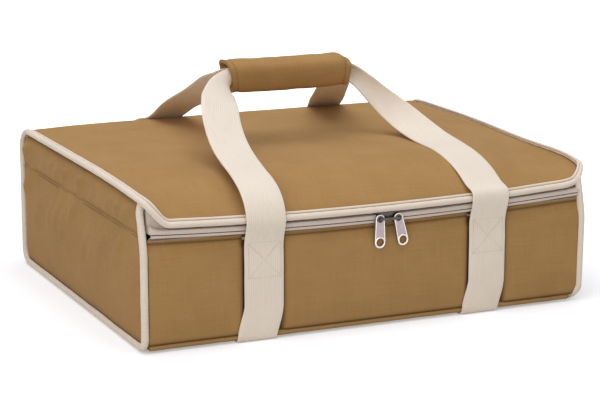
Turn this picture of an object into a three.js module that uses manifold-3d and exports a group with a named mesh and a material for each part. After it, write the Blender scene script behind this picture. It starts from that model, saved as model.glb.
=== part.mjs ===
// Pizza delivery bag: a padded canvas box with a zipped front, a lid that folds at the back,
// side gussets and two webbing carry loops that meet in a wrapped grip.
// Millimetres. +X is to the right, the front faces -Y, +Z is up and the floor is z = 0.

import * as THREE from 'three';
import { mergeVertices } from 'three/addons/utils/BufferGeometryUtils.js';
import loadManifold from 'manifold-3d';

// Driving dimensions
const bagWidth = 444; // between the outer faces of the side panels
const bagDepth = 361; // between the outer faces of the front and back panels
const bagHeight = 142; // from the floor to the top face of the closed lid
const gap = 0.3; // clearance between pieces that lie against each other

const canvas = 1.4;
const foam = 5;
const lining = 0.8;
const baseBoard = 2.5;

const pipingRadius = 4;
const pipingInset = 0.8; // how far the piping's centre lies inside the faces that it joins
const pipingBend = 10; // bend of the side piping at the floor
const hemCordRadius = 2.6; // covered cord along the bottom front and back edges
const cornerLean = 10; // how far the front corner leans back at its top
const cornerLeanRun = 30; // height over which it leans
const cornerDrop = 26; // its top below the lid's top face

const frontPanelDrop = 45; // front panel's top edge below the lid's top face
const gussetDrop = 36; // seam under the gusset below the lid's top face
const gussetBackDrop = 14.5; // top of the gusset's back edge below the lid's top face
const gussetRoom = 1.4; // between the gusset and the piping where the lid slopes
const wallClearance = 0.5; // between the tops of the walls and the lid's lining

const lidDroop = 27; // how far the lid's front edge lies below its top
const lidDroopRun = 45;
const lidOverhang = 1.4; // lid piping's centre ahead of the front panel
const lidCornerRadius = 16;
const lidRoll = 12; // fold between the lid and the back

const zipDrop = 40; // line where the two rows of teeth meet, below the lid's top face
const tapeThickness = 0.8;
const tapeSeam = 10; // depth of the tape that is sewn behind the front panel
const coilHeight = 2.3;
const coilThickness = 2.2;

const sliderLength = 11.5;
const sliderHeight = 9;
const sliderPlate = 1.5;
const slidersMeet = 13.3; // place along X where the closed sliders meet
const postRadius = 1.2;
const postFromEnd = 2.2; // post's axis from the slider's outer end
const postDrop = 1; // post's axis below the zip line
const bridgeThickness = 1.2;
const bridgeFoot = 2;

const pullLength = 31;
const pullEyeRadius = 4.2;
const pullEyeRound = 3.8; // corner radius beside the eye
const pullTipWidth = 11.2;
const pullTipRound = 5.3;
const pullThickness = 1.8;
const pullHoleRadius = 3.9;
const pullHoleFromTip = 1.6;
const pullStandOff = 0.4; // room between a pull and the webbing that it passes
const rightPullLean = 13; // degrees that the right pull hangs off plumb

const strapWidth = 38;
const strapThickness = 2;
const strapSpacing = 226; // between the centrelines of the two straps
const strapShift = 4; // straps' middle to the right of the bag's
const stitchDrop = 50; // where the webbing leaves the panel, below the lid's top face
const legRestRun = 15; // a front leg lies on the lid this far behind its front edge
const legDrawIn = 0.8; // share of the way to the grip where the left leg crosses the back edge
const legLiftRun = 47; // a leg has left the lid this far inside the bag's front or back
const legSettle = 62; // the right front leg lies on the lid up to this far from the middle

const gripHeight = 209.5; // centre of the hand grip above the floor
const gripRadius = 11.8; // webbing curled round inside the wrap
const gripOverhang = 4; // webbing that shows past each end of the wrap
const wrapLength = 125;
const gripShift = -6.5; // grip's middle to the right of the bag's
const wrapCanvas = 1.6;
const wrapFoam = 3;
const wrapLip = 12; // straight reach of the wrap behind the grip's centre
const closureThickness = 1.1;
const closureEndMargin = 6;

// Places worked out from the driving dimensions
const halfWidth = bagWidth / 2;
const halfDepth = bagDepth / 2;
const strapX = strapSpacing / 2;
const cornerTop = bagHeight - cornerDrop;
const cornerLeanStart = cornerTop - cornerLeanRun;
const frontPanelTop = bagHeight - frontPanelDrop;
const gussetSeam = bagHeight - gussetDrop;
const gussetBackTop = bagHeight - gussetBackDrop;
const zipLine = bagHeight - zipDrop;
const stitchTop = bagHeight - stitchDrop;
const panelFloor = strapThickness + gap; // under face of the bottom canvas
const pipingEdge = pipingInset + pipingRadius + gap; // canvas edge to the corner that it shares
const hemEdge = 2 * hemCordRadius + gap;
const foamFace = canvas + gap; // depths below the outer face
const foamBack = foamFace + foam;
const liningFace = foamBack + gap;
const liningBack = liningFace + lining;
const bottomFoamTop = panelFloor + foamBack;
const boardFloor = bottomFoamTop + gap;
const bottomLiningFloor = boardFloor + baseBoard + gap;
const sidePanelFloor = gap + 2 * pipingRadius + gap;
const sidePipingFloor = gap + pipingRadius;
const backTop = bagHeight - lidRoll - gap / 2;
const lidUnder = liningBack + wallClearance; // top of the walls below the lid's top face
const tapeOut = pipingRadius - lidOverhang + gap; // tape's outer face behind the front face
const tapeFace = -halfDepth + tapeOut;
const coilFace = tapeFace - gap - coilThickness;
const sliderFace = coilFace - gap;
const zipHalf = halfWidth - foamBack - gap;
const pullBackFace = -halfDepth - gap - strapThickness - pullStandOff;
const gripHalf = wrapLength / 2 + gripOverhang;
const wrapInner = gripRadius + gap + wrapFoam + gap;

const wasm = await loadManifold();
wasm.setup();

// Finishes
const finish = (color, roughness, metalness = 0) =>
  new THREE.MeshStandardMaterial({ color, roughness, metalness });
const tanCanvas = finish(0x9f7d4f, 0.9);
const creamWebbing = finish(0xe3d5c3, 0.85);
const creamPiping = finish(0xdccdb8, 0.85);
const greyTape = finish(0xb7a48f, 0.85);
const silverLining = finish(0xc3c6c8, 0.4, 0.5);
const whiteFoam = finish(0xe9e7e0, 0.95);
const greyBoard = finish(0x4b4a48, 0.7);
const nickel = finish(0xbdb6b2, 0.3, 1);
const closureTan = finish(0x8a6d46, 0.95);

const bag = new THREE.Group();

function addPiece(name, geometry, material) {
  const mesh = new THREE.Mesh(geometry, material);
  mesh.name = name;
  bag.add(mesh);
  return mesh;
}

// A box given by its lowest and highest corners.
function block(low, high) {
  const size = high.map((value, axis) => value - low[axis]);
  const middle = high.map((value, axis) => (value + low[axis]) / 2);
  return new THREE.BoxGeometry(...size).translate(...middle);
}

// An outline whose corners, given as [u, v, radius], are rounded with arcs.
function rounded(corners, arcSteps = 5) {
  const outline = [];
  corners.forEach(([u, v, radius = 0], index) => {
    const corner = new THREE.Vector2(u, v);
    if (radius === 0) {
      outline.push(corner);
      return;
    }
    const [pu, pv] = corners.at(index - 1);
    const [nu, nv] = corners[(index + 1) % corners.length];
    const before = new THREE.Vector2(pu, pv).sub(corner).normalize();
    const after = new THREE.Vector2(nu, nv).sub(corner).normalize();
    const half = Math.acos(THREE.MathUtils.clamp(before.dot(after), -1, 1)) / 2;
    const reach = radius / Math.tan(half);
    const axis = before.clone().add(after).normalize();
    const centre = corner.clone().addScaledVector(axis, radius / Math.sin(half));
    const start = corner.clone().addScaledVector(before, reach).sub(centre);
    const turn = Math.sign(before.cross(after)) * -(Math.PI - 2 * half);
    for (let step = 0; step <= arcSteps; step += 1) {
      const arm = start.clone().rotateAround(new THREE.Vector2(), (turn * step) / arcSteps);
      outline.push(arm.add(centre));
    }
  });
  return outline;
}

// A solid with an outline drawn in the YZ plane, from x = low to x = high.
function alongX(outline, low, high) {
  const solid = new THREE.ExtrudeGeometry(new THREE.Shape(outline), {
    depth: high - low,
    bevelEnabled: false,
  });
  const turn = new THREE.Matrix4().makeBasis(
    new THREE.Vector3(0, 1, 0),
    new THREE.Vector3(0, 0, 1),
    new THREE.Vector3(1, 0, 0),
  );
  return solid.applyMatrix4(turn).translate(low, 0, 0);
}

// A solid with a shape drawn in the XZ plane, from y = front back by a thickness.
function alongY(shape, front, thickness) {
  const solid = new THREE.ExtrudeGeometry(shape, { depth: thickness, bevelEnabled: false });
  return solid.rotateX(Math.PI / 2).translate(0, front + thickness, 0);
}

// A closed skin over rings of points, with flat ends.
function loft(rings) {
  const count = rings[0].length;
  const positions = rings.flat().flatMap((point) => point.toArray());
  const index = [];
  for (let ring = 0; ring + 1 < rings.length; ring += 1) {
    for (let side = 0; side < count; side += 1) {
      const a = ring * count + side;
      const b = ring * count + ((side + 1) % count);
      index.push(a, b, b + count, a, b + count, a + count);
    }
  }
  const last = (rings.length - 1) * count;
  for (let side = 1; side + 1 < count; side += 1) {
    index.push(0, side + 1, side, last, last + side, last + side + 1);
  }
  const skin = new THREE.BufferGeometry();
  skin.setAttribute('position', new THREE.Float32BufferAttribute(positions, 3));
  skin.setIndex(index);
  return skin;
}

// Unit directions along a list of points.
function tangents(points) {
  return points.map((point, index) => {
    const ahead = points[Math.min(index + 1, points.length - 1)];
    const behind = points[Math.max(index - 1, 0)];
    return ahead.clone().sub(behind).normalize();
  });
}

// A round cord through a list of points; its ring is carried along without twisting.
function cord(points, radius, sides = 8) {
  const along = tangents(points);
  const across = new THREE.Vector3(1, 0, 0);
  if (Math.abs(along[0].x) > 0.9) across.set(0, 0, 1);
  const rings = points.map((point, index) => {
    const tangent = along[index];
    across.addScaledVector(tangent, -across.dot(tangent)).normalize();
    const third = tangent.clone().cross(across);
    return Array.from({ length: sides }, (_, side) => {
      const angle = (2 * Math.PI * (side + 0.5)) / sides;
      return point
        .clone()
        .addScaledVector(across, radius * Math.cos(angle))
        .addScaledVector(third, radius * Math.sin(angle));
    });
  });
  return loft(rings);
}

// Flat webbing through a list of points, each with a direction for its width and a width.
function ribbon(points, widthWays, widths, thickness) {
  const along = tangents(points);
  const rings = points.map((point, index) => {
    const wide = widthWays[index].clone();
    const thick = along[index].clone().cross(wide).setLength(thickness / 2);
    wide.multiplyScalar(widths[index] / 2);
    return [
      point.clone().add(wide).add(thick),
      point.clone().sub(wide).add(thick),
      point.clone().sub(wide).sub(thick),
      point.clone().add(wide).sub(thick),
    ];
  });
  return loft(rings);
}

// A three.js geometry as a solid for cutting and joining, and back again.
function toSolid(geometry) {
  const bare = geometry.clone();
  bare.deleteAttribute('normal');
  bare.deleteAttribute('uv');
  const merged = mergeVertices(bare, 1e-4);
  return new wasm.Manifold(
    new wasm.Mesh({
      numProp: 3,
      vertProperties: new Float32Array(merged.attributes.position.array),
      triVerts: new Uint32Array(merged.index.array),
    }),
  );
}

function toGeometry(solid) {
  const mesh = solid.getMesh();
  const geometry = new THREE.BufferGeometry();
  geometry.setAttribute('position', new THREE.BufferAttribute(mesh.vertProperties, 3));
  geometry.setIndex(new THREE.BufferAttribute(mesh.triVerts, 1));
  return geometry;
}

// Height of the lid's top face: flat, with a rounded fall over the front edge.
function lidHeight(y) {
  const run = Math.min((y + halfDepth) / lidDroopRun, 1);
  return bagHeight - lidDroop * (1 - run) ** 2;
}

// Points on the lid's top face, lowered by a depth, from one y to another.
function lidLine(from, to, depth, steps = 8) {
  const bendEnd = -halfDepth + lidDroopRun;
  const line = [];
  for (let step = 0; step <= steps; step += 1) {
    const y = from + ((bendEnd - from) * step) / steps;
    line.push(new THREE.Vector2(y, lidHeight(y) - depth));
  }
  line.push(new THREE.Vector2(to, bagHeight - depth));
  return line;
}

// Outer canvas of the box: flat cloth panels that stop at the piping.
function addOuterPanels() {
  const wide = halfWidth - pipingEdge;
  const hemTop = panelFloor + hemEdge;
  addPiece(
    'front_panel',
    block([-wide, -halfDepth, hemTop], [wide, -halfDepth + canvas, frontPanelTop]),
    tanCanvas,
  );
  addPiece(
    'back_panel',
    block([-wide, halfDepth - canvas, hemTop], [wide, halfDepth, backTop]),
    tanCanvas,
  );
  addPiece(
    'bottom_panel',
    block(
      [-wide, -halfDepth + hemEdge, panelFloor],
      [wide, halfDepth - hemEdge, panelFloor + canvas],
    ),
    tanCanvas,
  );
}

// How far the side wall's front edge is set back at a height, beside the leaning piping.
function cornerSetBack(z) {
  const rise = cornerTop - cornerLeanStart;
  const slant = Math.hypot(rise, cornerLean) / rise;
  const room = (pipingRadius + gap) * (slant - 1) + gap;
  const share = THREE.MathUtils.clamp((z - cornerLeanStart) / rise, 0, 1);
  return room + cornerLean * share;
}

// Side wall: canvas up to the gusset's seam, then the wedge of the folded gusset up to the lid.
function addSideWall(side, sign) {
  const outer = sign * halfWidth;
  const span = (near, far) => [outer - sign * near, outer - sign * far].sort((a, b) => a - b);
  const front = -halfDepth + pipingEdge;
  const back = halfDepth - pipingEdge;
  const bend = pipingBend - pipingRadius - gap;
  const floorCorners = [
    [front, sidePanelFloor, bend],
    [back, sidePanelFloor, bend],
  ];
  const leanFoot = front + cornerSetBack(cornerLeanStart);
  const leanHead = front + cornerSetBack(cornerTop);
  const seamFrontY = front + cornerSetBack(gussetSeam);

  const panel = rounded([
    ...floorCorners,
    [back, gussetSeam - gap],
    [seamFrontY, gussetSeam - gap],
    [leanFoot, cornerLeanStart],
  ]);
  addPiece(`${side}_side_panel`, alongX(panel, ...span(0, canvas)), tanCanvas);

  const pipingDepth = pipingInset + pipingRadius + gap + gussetRoom;
  const gussetTop = lidLine(leanHead, halfDepth - lidRoll, pipingDepth);
  const gusset = [
    new THREE.Vector2(seamFrontY, gussetSeam),
    new THREE.Vector2(back, gussetSeam),
    new THREE.Vector2(back, gussetBackTop),
    ...gussetTop.reverse(),
    new THREE.Vector2(leanHead, cornerTop),
  ];
  addPiece(`${side}_gusset`, alongX(gusset, ...span(0, canvas)), tanCanvas);

  const wallTop = lidLine(leanHead, halfDepth - lidRoll, lidUnder);
  const foamOutline = [
    ...rounded(floorCorners.concat([[back, backTop], [front, backTop]])).slice(0, -2),
    new THREE.Vector2(back, backTop - gap),
    ...wallTop.reverse(),
    new THREE.Vector2(leanHead, cornerTop),
    new THREE.Vector2(leanFoot, cornerLeanStart),
  ];
  addPiece(`${side}_foam`, alongX(foamOutline, ...span(foamFace, foamBack)), whiteFoam);

  const liningFront = -halfDepth + liningFace;
  const liningRear = halfDepth - liningFace;
  const liningTop = lidLine(leanHead, halfDepth - lidRoll, lidUnder);
  const liningOutline = [
    new THREE.Vector2(liningFront, boardFloor),
    new THREE.Vector2(liningRear, boardFloor),
    new THREE.Vector2(liningRear, backTop - gap),
    ...liningTop.reverse(),
    new THREE.Vector2(leanHead, cornerTop),
    new THREE.Vector2(liningFront, cornerLeanStart),
  ];
  addPiece(`${side}_lining`, alongX(liningOutline, ...span(liningFace, liningBack)), silverLining);
}

// Foam boards and silver lining of the front, back and floor, and the stiff board on the floor.
function addPadding() {
  const foamWide = halfWidth - foamBack - gap;
  const liningWide = halfWidth - liningBack - gap;
  const foamTop = frontPanelTop - tapeSeam - gap;
  addPiece(
    'front_foam',
    block(
      [-foamWide, -halfDepth + foamFace, boardFloor],
      [foamWide, -halfDepth + foamBack, foamTop],
    ),
    whiteFoam,
  );
  addPiece(
    'back_foam',
    block([-foamWide, halfDepth - foamBack, boardFloor], [foamWide, halfDepth - foamFace, backTop]),
    whiteFoam,
  );
  addPiece(
    'bottom_foam',
    block(
      [-foamWide, -halfDepth + hemEdge, panelFloor + foamFace],
      [foamWide, halfDepth - hemEdge, bottomFoamTop],
    ),
    whiteFoam,
  );
  addPiece(
    'front_lining',
    block(
      [-liningWide, -halfDepth + liningFace, boardFloor],
      [liningWide, -halfDepth + liningBack, frontPanelTop],
    ),
    silverLining,
  );
  addPiece(
    'back_lining',
    block(
      [-liningWide, halfDepth - liningBack, boardFloor],
      [liningWide, halfDepth - liningFace, backTop],
    ),
    silverLining,
  );
  const floorDeep = halfDepth - liningBack - gap;
  addPiece(
    'base_board',
    block([-liningWide, -floorDeep, boardFloor], [liningWide, floorDeep, boardFloor + baseBoard]),
    greyBoard,
  );
  addPiece(
    'bottom_lining',
    block(
      [-liningWide, -floorDeep, bottomLiningFloor],
      [liningWide, floorDeep, bottomLiningFloor + lining],
    ),
    silverLining,
  );
}

// Cream cord round each side panel, and canvas-covered cord along the bottom edges.
function addBodyPiping() {
  const front = -halfDepth + pipingInset;
  const back = halfDepth - pipingInset;
  const run = rounded([
    [back, backTop],
    [back, sidePipingFloor, pipingBend],
    [front, sidePipingFloor, pipingBend],
    [front, cornerLeanStart, 4 * pipingBend],
    [front + cornerLean, cornerTop],
  ]);
  for (const [side, sign] of [['left', -1], ['right', 1]]) {
    const x = sign * (halfWidth - pipingInset);
    const points = run.map((point) => new THREE.Vector3(x, point.x, point.y));
    addPiece(`${side}_side_piping`, cord(points, pipingRadius), creamPiping);
  }
  const reach = halfWidth - pipingEdge;
  for (const [edge, sign] of [['front', -1], ['back', 1]]) {
    const y = sign * (halfDepth - hemCordRadius);
    const z = panelFloor + hemCordRadius;
    const ends = [new THREE.Vector3(-reach, y, z), new THREE.Vector3(reach, y, z)];
    addPiece(`${edge}_hem_cord`, cord(ends, hemCordRadius, 12), tanCanvas);
  }
}

// Plan of the lid, a given distance inside the centre of its piping, rounded at the front corners.
function lidPlan(inset) {
  const wide = halfWidth - pipingInset - inset;
  const front = -halfDepth - lidOverhang + inset;
  const radius = lidCornerRadius - inset;
  return rounded(
    [
      [-wide, front, radius],
      [wide, front, radius],
      [wide, halfDepth + lidRoll],
      [-wide, halfDepth + lidRoll],
    ],
    8,
  );
}

// One layer of the lid: its cross-section run across the bag and trimmed to the lid's plan.
function lidLayer(section, inset) {
  const slab = toSolid(alongX(section, -halfWidth, halfWidth));
  const plan = new THREE.ExtrudeGeometry(new THREE.Shape(lidPlan(inset)), {
    depth: 2 * bagHeight,
    bevelEnabled: false,
  });
  return toGeometry(slab.intersect(toSolid(plan)));
}

function rollArc(radius, steps = 5) {
  return Array.from({ length: steps }, (_, step) => {
    const angle = (Math.PI / 2) * (1 - (step + 1) / steps);
    const y = halfDepth - lidRoll + radius * Math.cos(angle);
    return new THREE.Vector2(y, bagHeight - lidRoll + radius * Math.sin(angle));
  });
}

// Lid: canvas that rolls down into the back, foam, lining and the piping round its edge.
function addLid() {
  const front = -halfDepth - lidOverhang;
  const rollStart = halfDepth - lidRoll;
  const lift = gap / 2; // keeps the roll's lower edge off the back panel
  const raise = (point) => new THREE.Vector2(point.x, Math.max(point.y, bagHeight - lidRoll + lift));
  const canvasSection = [
    ...lidLine(front, rollStart, 0),
    ...rollArc(lidRoll).map(raise),
    ...rollArc(lidRoll - canvas).map(raise).reverse(),
    ...lidLine(front, rollStart, canvas).reverse(),
  ].reverse();
  const canvasInset = pipingRadius + gap;
  addPiece('lid_top_panel', lidLayer(canvasSection, canvasInset), tanCanvas);

  const padInset = foamBack + gap - pipingInset;
  const layer = (top, under) =>
    [...lidLine(front, rollStart, top), ...lidLine(front, rollStart, under).reverse()].reverse();
  addPiece('lid_foam', lidLayer(layer(foamFace, foamBack), padInset), whiteFoam);
  addPiece('lid_lining', lidLayer(layer(liningFace, liningBack), padInset), silverLining);

  const pipingX = halfWidth - pipingInset;
  const [foot, ...rise] = rollArc(lidRoll - pipingInset).map(raise).reverse();
  const squareEnd = new THREE.Vector2(foot.x, foot.y + 4 * gap); // its end stands square to the back
  const leftSide = [foot, squareEnd, ...rise].map(
    (point) => new THREE.Vector3(-pipingX, point.x, point.y),
  );
  const frontCorner = rounded(
    [
      [-pipingX, front, lidCornerRadius],
      [0, front],
      [0, halfDepth],
      [-pipingX, halfDepth],
    ],
    10,
  ).slice(0, 11);
  const fall = lidLine(front + lidCornerRadius, rollStart, pipingInset).reverse();
  for (const point of fall) {
    leftSide.push(new THREE.Vector3(-pipingX, point.x, point.y));
  }
  for (const point of frontCorner.slice(1)) {
    leftSide.push(new THREE.Vector3(point.x, point.y, lidHeight(point.y) - pipingInset));
  }
  const mirrored = leftSide.map((point) => new THREE.Vector3(-point.x, point.y, point.z)).reverse();
  addPiece('lid_piping', cord([...leftSide, ...mirrored], pipingRadius), creamPiping);
}

// Zip: two tapes, two rows of coil teeth, two sliders and their hanging pulls.
function addZip() {
  const lowerTop = zipLine - gap / 2;
  const upperFloor = zipLine + gap / 2;
  addPiece(
    'lower_zip_tape',
    block(
      [-zipHalf, tapeFace, frontPanelTop - tapeSeam],
      [zipHalf, tapeFace + tapeThickness, lowerTop],
    ),
    greyTape,
  );
  const shoulder = halfWidth - lidCornerRadius;
  const shoulderTop = lidHeight(-halfDepth - lidOverhang) - pipingInset - pipingRadius - gap;
  const tapeTop = lidHeight(tapeFace) - canvas - gap;
  const upperTape = new THREE.Shape(
    [
      [-zipHalf, upperFloor],
      [zipHalf, upperFloor],
      [zipHalf, shoulderTop],
      [shoulder, shoulderTop],
      [shoulder, tapeTop],
      [-shoulder, tapeTop],
      [-shoulder, shoulderTop],
      [-zipHalf, shoulderTop],
    ].map(([x, z]) => new THREE.Vector2(x, z)),
  );
  addPiece('upper_zip_tape', alongY(upperTape, tapeFace, tapeThickness), greyTape);

  const coil = (low, high) =>
    block([-zipHalf, coilFace, low], [zipHalf, coilFace + coilThickness, high]);
  addPiece('lower_zip_coil', coil(lowerTop - coilHeight, lowerTop), greyTape);
  addPiece('upper_zip_coil', coil(upperFloor, upperFloor + coilHeight), greyTape);

  addSliderAndPull('left', -1, 0);
  addSliderAndPull('right', 1, rightPullLean);
}

// A slider plate with a bridge, whose outer end is the post that the pull hangs on.
function addSliderAndPull(side, sign, lean) {
  const innerEnd = slidersMeet + (sign * gap) / 2;
  const outerEnd = innerEnd + sign * sliderLength;
  const postX = outerEnd - sign * postFromEnd;
  const postZ = zipLine - postDrop;
  const plateFront = sliderFace - sliderPlate;
  const bridgeBack = pullBackFace - pullThickness - gap;
  const bridgeFront = bridgeBack - bridgeThickness;

  const reach = (from, to) => [Math.min(from, to), Math.max(from, to)];
  const [plateLow, plateHigh] = reach(innerEnd, outerEnd);
  const [bridgeLow, bridgeHigh] = reach(postX, innerEnd);
  const [footLow, footHigh] = reach(innerEnd, innerEnd + sign * bridgeFoot);
  const halfHeight = sliderHeight / 2;
  const overlap = sliderPlate / 2;
  const plate = block(
    [plateLow, plateFront, zipLine - halfHeight],
    [plateHigh, sliderFace, zipLine + halfHeight],
  );
  const postLength = plateFront + overlap - bridgeFront;
  const post = new THREE.CylinderGeometry(postRadius, postRadius, postLength, 16).translate(
    postX,
    bridgeFront + postLength / 2,
    postZ,
  );
  const bridge = block(
    [bridgeLow, bridgeFront, postZ - postRadius],
    [bridgeHigh, bridgeBack, postZ + postRadius],
  );
  const foot = block(
    [footLow, bridgeFront, postZ - postRadius],
    [footHigh, plateFront + overlap, postZ + postRadius],
  );
  const slider = [post, bridge, foot].reduce(
    (solid, piece) => solid.add(toSolid(piece)),
    toSolid(plate),
  );
  addPiece(`${side}_slider`, toGeometry(slider), nickel);

  const tipZ = pullEyeRadius - pullLength;
  const tipHalf = pullTipWidth / 2;
  const outline = new THREE.Shape(
    rounded(
      [
        [-pullEyeRadius, pullEyeRadius, pullEyeRound],
        [-tipHalf, tipZ, pullTipRound],
        [tipHalf, tipZ, pullTipRound],
        [pullEyeRadius, pullEyeRadius, pullEyeRound],
      ],
      6,
    ),
  );
  const eye = new THREE.Path().absarc(0, 0, postRadius + gap, 0, 2 * Math.PI, true);
  const holeZ = tipZ + pullHoleFromTip + pullHoleRadius;
  const hole = new THREE.Path().absarc(0, holeZ, pullHoleRadius, 0, 2 * Math.PI, true);
  outline.holes.push(eye, hole);
  const pull = alongY(outline, pullBackFace - pullThickness, pullThickness);
  const mesh = addPiece(`${side}_pull`, pull, nickel);
  mesh.rotation.y = -sign * THREE.MathUtils.degToRad(lean);
  mesh.position.set(postX, 0, postZ);
}

// Webbing sewn to the bag: up the front, under the floor and up the back.
function addSewnStraps() {
  const inner = halfDepth + gap;
  const outer = inner + strapThickness;
  const innerBend = hemCordRadius + gap;
  const outerBend = innerBend + strapThickness;
  const path = rounded([
    [-inner, stitchTop],
    [-outer, stitchTop],
    [-outer, 0, outerBend],
    [outer, 0, outerBend],
    [outer, stitchTop],
    [inner, stitchTop],
    [inner, strapThickness, innerBend],
    [-inner, strapThickness, innerBend],
  ]);
  for (const [side, sign] of [['left', -1], ['right', 1]]) {
    const middle = sign * strapX + strapShift;
    const band = alongX(path, middle - strapWidth / 2, middle + strapWidth / 2);
    addPiece(`${side}_sewn_strap`, band, creamWebbing);
  }
}

// Free webbing from the panel over the lid's edge to the grip. Places are [sideways share,
// distance from the bag's middle, height, share of the quarter turn]; the sideways share runs
// from the strap to the grip. The left leg behind is drawn in towards the grip, and the right leg
// in front lies on the lid and then climbs steeply.
function legPlaces(end, side) {
  const rest = strapThickness / 2 + gap;
  const gripY = 0.6 * gripRadius;
  const rise = gripHeight - bagHeight;
  const lidEdge = lidHeight(-halfDepth - lidOverhang) - pipingInset;
  const overPiping = halfDepth + lidOverhang + pipingRadius + rest;
  const stitch = [0, halfDepth + rest, stitchTop + 1.5 * gap, 0];
  const gripEnd = [1, gripY, gripHeight, 1];
  const onLid = (out) => [0, out, lidHeight(-out) + 2 * rest, 0];
  const overEdge = [
    stitch,
    [0, overPiping, lidEdge - 0.6 * pipingRadius, 0],
    [0, overPiping, lidEdge + 1.5 * pipingRadius, 0],
  ];
  if (end === 'front' && side === 'right') {
    return [
      ...overEdge,
      onLid(halfDepth - legRestRun),
      onLid(halfDepth - 2 * legRestRun),
      onLid(halfDepth - lidDroopRun),
      onLid(legSettle),
      [0.1, 0.47 * legSettle, bagHeight + 0.2 * rise, 0.15],
      [0.3, 0.25 * legSettle, bagHeight + 0.39 * rise, 0.35],
      [0.5, 0.15 * legSettle, bagHeight + 0.6 * rise, 0.55],
      [0.66, gripY, bagHeight + 0.82 * rise, 0.7],
      [0.83, gripY, gripHeight, 0.83],
      [0.92, gripY, gripHeight, 0.92],
      gripEnd,
    ];
  }
  if (end === 'front') {
    return [
      ...overEdge,
      [0, halfDepth - legRestRun, bagHeight, 0],
      [0.1, halfDepth - legLiftRun, bagHeight + 0.25 * rise, 0.1],
      [0.4, 0.25 * halfDepth, bagHeight + 0.66 * rise, 0.4],
      [0.7, 2 * gripRadius, bagHeight + 0.9 * rise, 0.7],
      [0.86, gripY, gripHeight, 0.86],
      gripEnd,
    ];
  }
  const drawnIn = side === 'left' ? legDrawIn : 0;
  return [
    stitch,
    [0.7 * drawnIn, halfDepth + rest, bagHeight - lidRoll, 0],
    [drawnIn, halfDepth - rest, bagHeight + gap, 0],
    [drawnIn, halfDepth - lidRoll, bagHeight + 0.8 * lidRoll, 0],
    [Math.max(drawnIn, 0.1), halfDepth - legLiftRun, bagHeight + 0.25 * rise, 0.1],
    [Math.max(drawnIn, 0.4), 0.25 * halfDepth, bagHeight + 0.66 * rise, 0.4],
    [0.7, 2 * gripRadius, bagHeight + 0.9 * rise, 0.7],
    [0.86, gripY, gripHeight, 0.86],
    gripEnd,
  ];
}

function addLoop(end, endSign) {
  const gripEnd = gripHalf + 2 * gap;
  const steps = 30;
  for (const [side, sign] of [['left', -1], ['right', 1]]) {
    const places = legPlaces(end, side);
    const keys = places.map(([share, out, z]) => {
      const strap = sign * strapX + strapShift;
      const fromMiddle = THREE.MathUtils.lerp(strap, sign * gripEnd + gripShift, share);
      return new THREE.Vector3(fromMiddle, endSign * out, z);
    });
    const points = new THREE.CatmullRomCurve3(keys, false, 'centripetal').getPoints(steps);
    const turns = points.map((_, step) => {
      const place = (step / steps) * (places.length - 1);
      const before = Math.min(Math.floor(place), places.length - 2);
      return THREE.MathUtils.lerp(places[before][3], places[before + 1][3], place - before);
    });
    const along = tangents(points);
    const ways = turns.map((turn, step) => {
      const angle = (Math.PI / 2) * turn;
      const way = new THREE.Vector3(-sign * Math.cos(angle), 0, -Math.sin(angle));
      if (turn === 0) return way; // level until it starts to turn
      return way.addScaledVector(along[step], -way.dot(along[step])).normalize();
    });
    const chord = 2 * (gripRadius - strapThickness);
    const widths = turns.map((turn) =>
      THREE.MathUtils.lerp(strapWidth, chord, THREE.MathUtils.smoothstep(turn, 0.45, 1)),
    );
    addPiece(`${end}_${side}_leg`, ribbon(points, ways, widths, strapThickness), creamWebbing);
  }
  const grip = alongX(curledWebbing(endSign), gripShift - gripHalf, gripShift + gripHalf);
  addPiece(`${end}_grip`, grip, creamWebbing);
}

// Half ring: the webbing's cross-section where it curls round inside the wrap.
function curledWebbing(endSign) {
  const steps = 10;
  const arc = (radius) =>
    Array.from({ length: steps + 1 }, (_, step) => {
      const angle = Math.PI * (step / steps - 0.5);
      const y = endSign * (gap / 2 + radius * Math.cos(angle));
      return new THREE.Vector2(y, gripHeight + radius * Math.sin(angle));
    });
  return [...arc(gripRadius), ...arc(gripRadius - strapThickness).reverse()];
}

// A band round the front of the grip, with straight lips that reach back over and under it.
function wrapSection(outer, inner, lip) {
  const steps = 12;
  const arc = (radius) =>
    Array.from({ length: steps + 1 }, (_, step) => {
      const angle = Math.PI * (0.5 + step / steps);
      const y = radius * Math.cos(angle);
      return new THREE.Vector2(y, gripHeight + radius * Math.sin(angle));
    });
  const lipEnd = (radius, sign) => new THREE.Vector2(lip, gripHeight + sign * radius);
  return [
    lipEnd(outer, 1),
    ...arc(outer),
    lipEnd(outer, -1),
    lipEnd(inner, -1),
    ...arc(inner).reverse(),
    lipEnd(inner, 1),
  ];
}

// Grip cover: canvas wrap, its foam and the two halves of its touch closure.
function addHandleWrap() {
  const left = gripShift - wrapLength / 2;
  const right = gripShift + wrapLength / 2;
  const foamLip = wrapLip / 4;
  const cover = wrapSection(wrapInner + wrapCanvas, wrapInner, wrapLip);
  addPiece('handle_wrap', alongX(cover, left, right), tanCanvas);
  const pad = wrapSection(wrapInner - gap, wrapInner - gap - wrapFoam, foamLip);
  addPiece('handle_foam', alongX(pad, left, right), whiteFoam);
  for (const [name, sign] of [['hook_strip', 1], ['loop_strip', -1]]) {
    const near = gripHeight + sign * (wrapInner - gap);
    const far = near - sign * closureThickness;
    const strip = block(
      [left + closureEndMargin, foamLip + gap, Math.min(near, far)],
      [right - closureEndMargin, wrapLip, Math.max(near, far)],
    );
    addPiece(name, strip, closureTan);
  }
}

addOuterPanels();
addSideWall('left', -1);
addSideWall('right', 1);
addPadding();
addBodyPiping();
addLid();
addZip();
addSewnStraps();
addLoop('front', -1);
addLoop('back', 1);
addHandleWrap();

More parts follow.
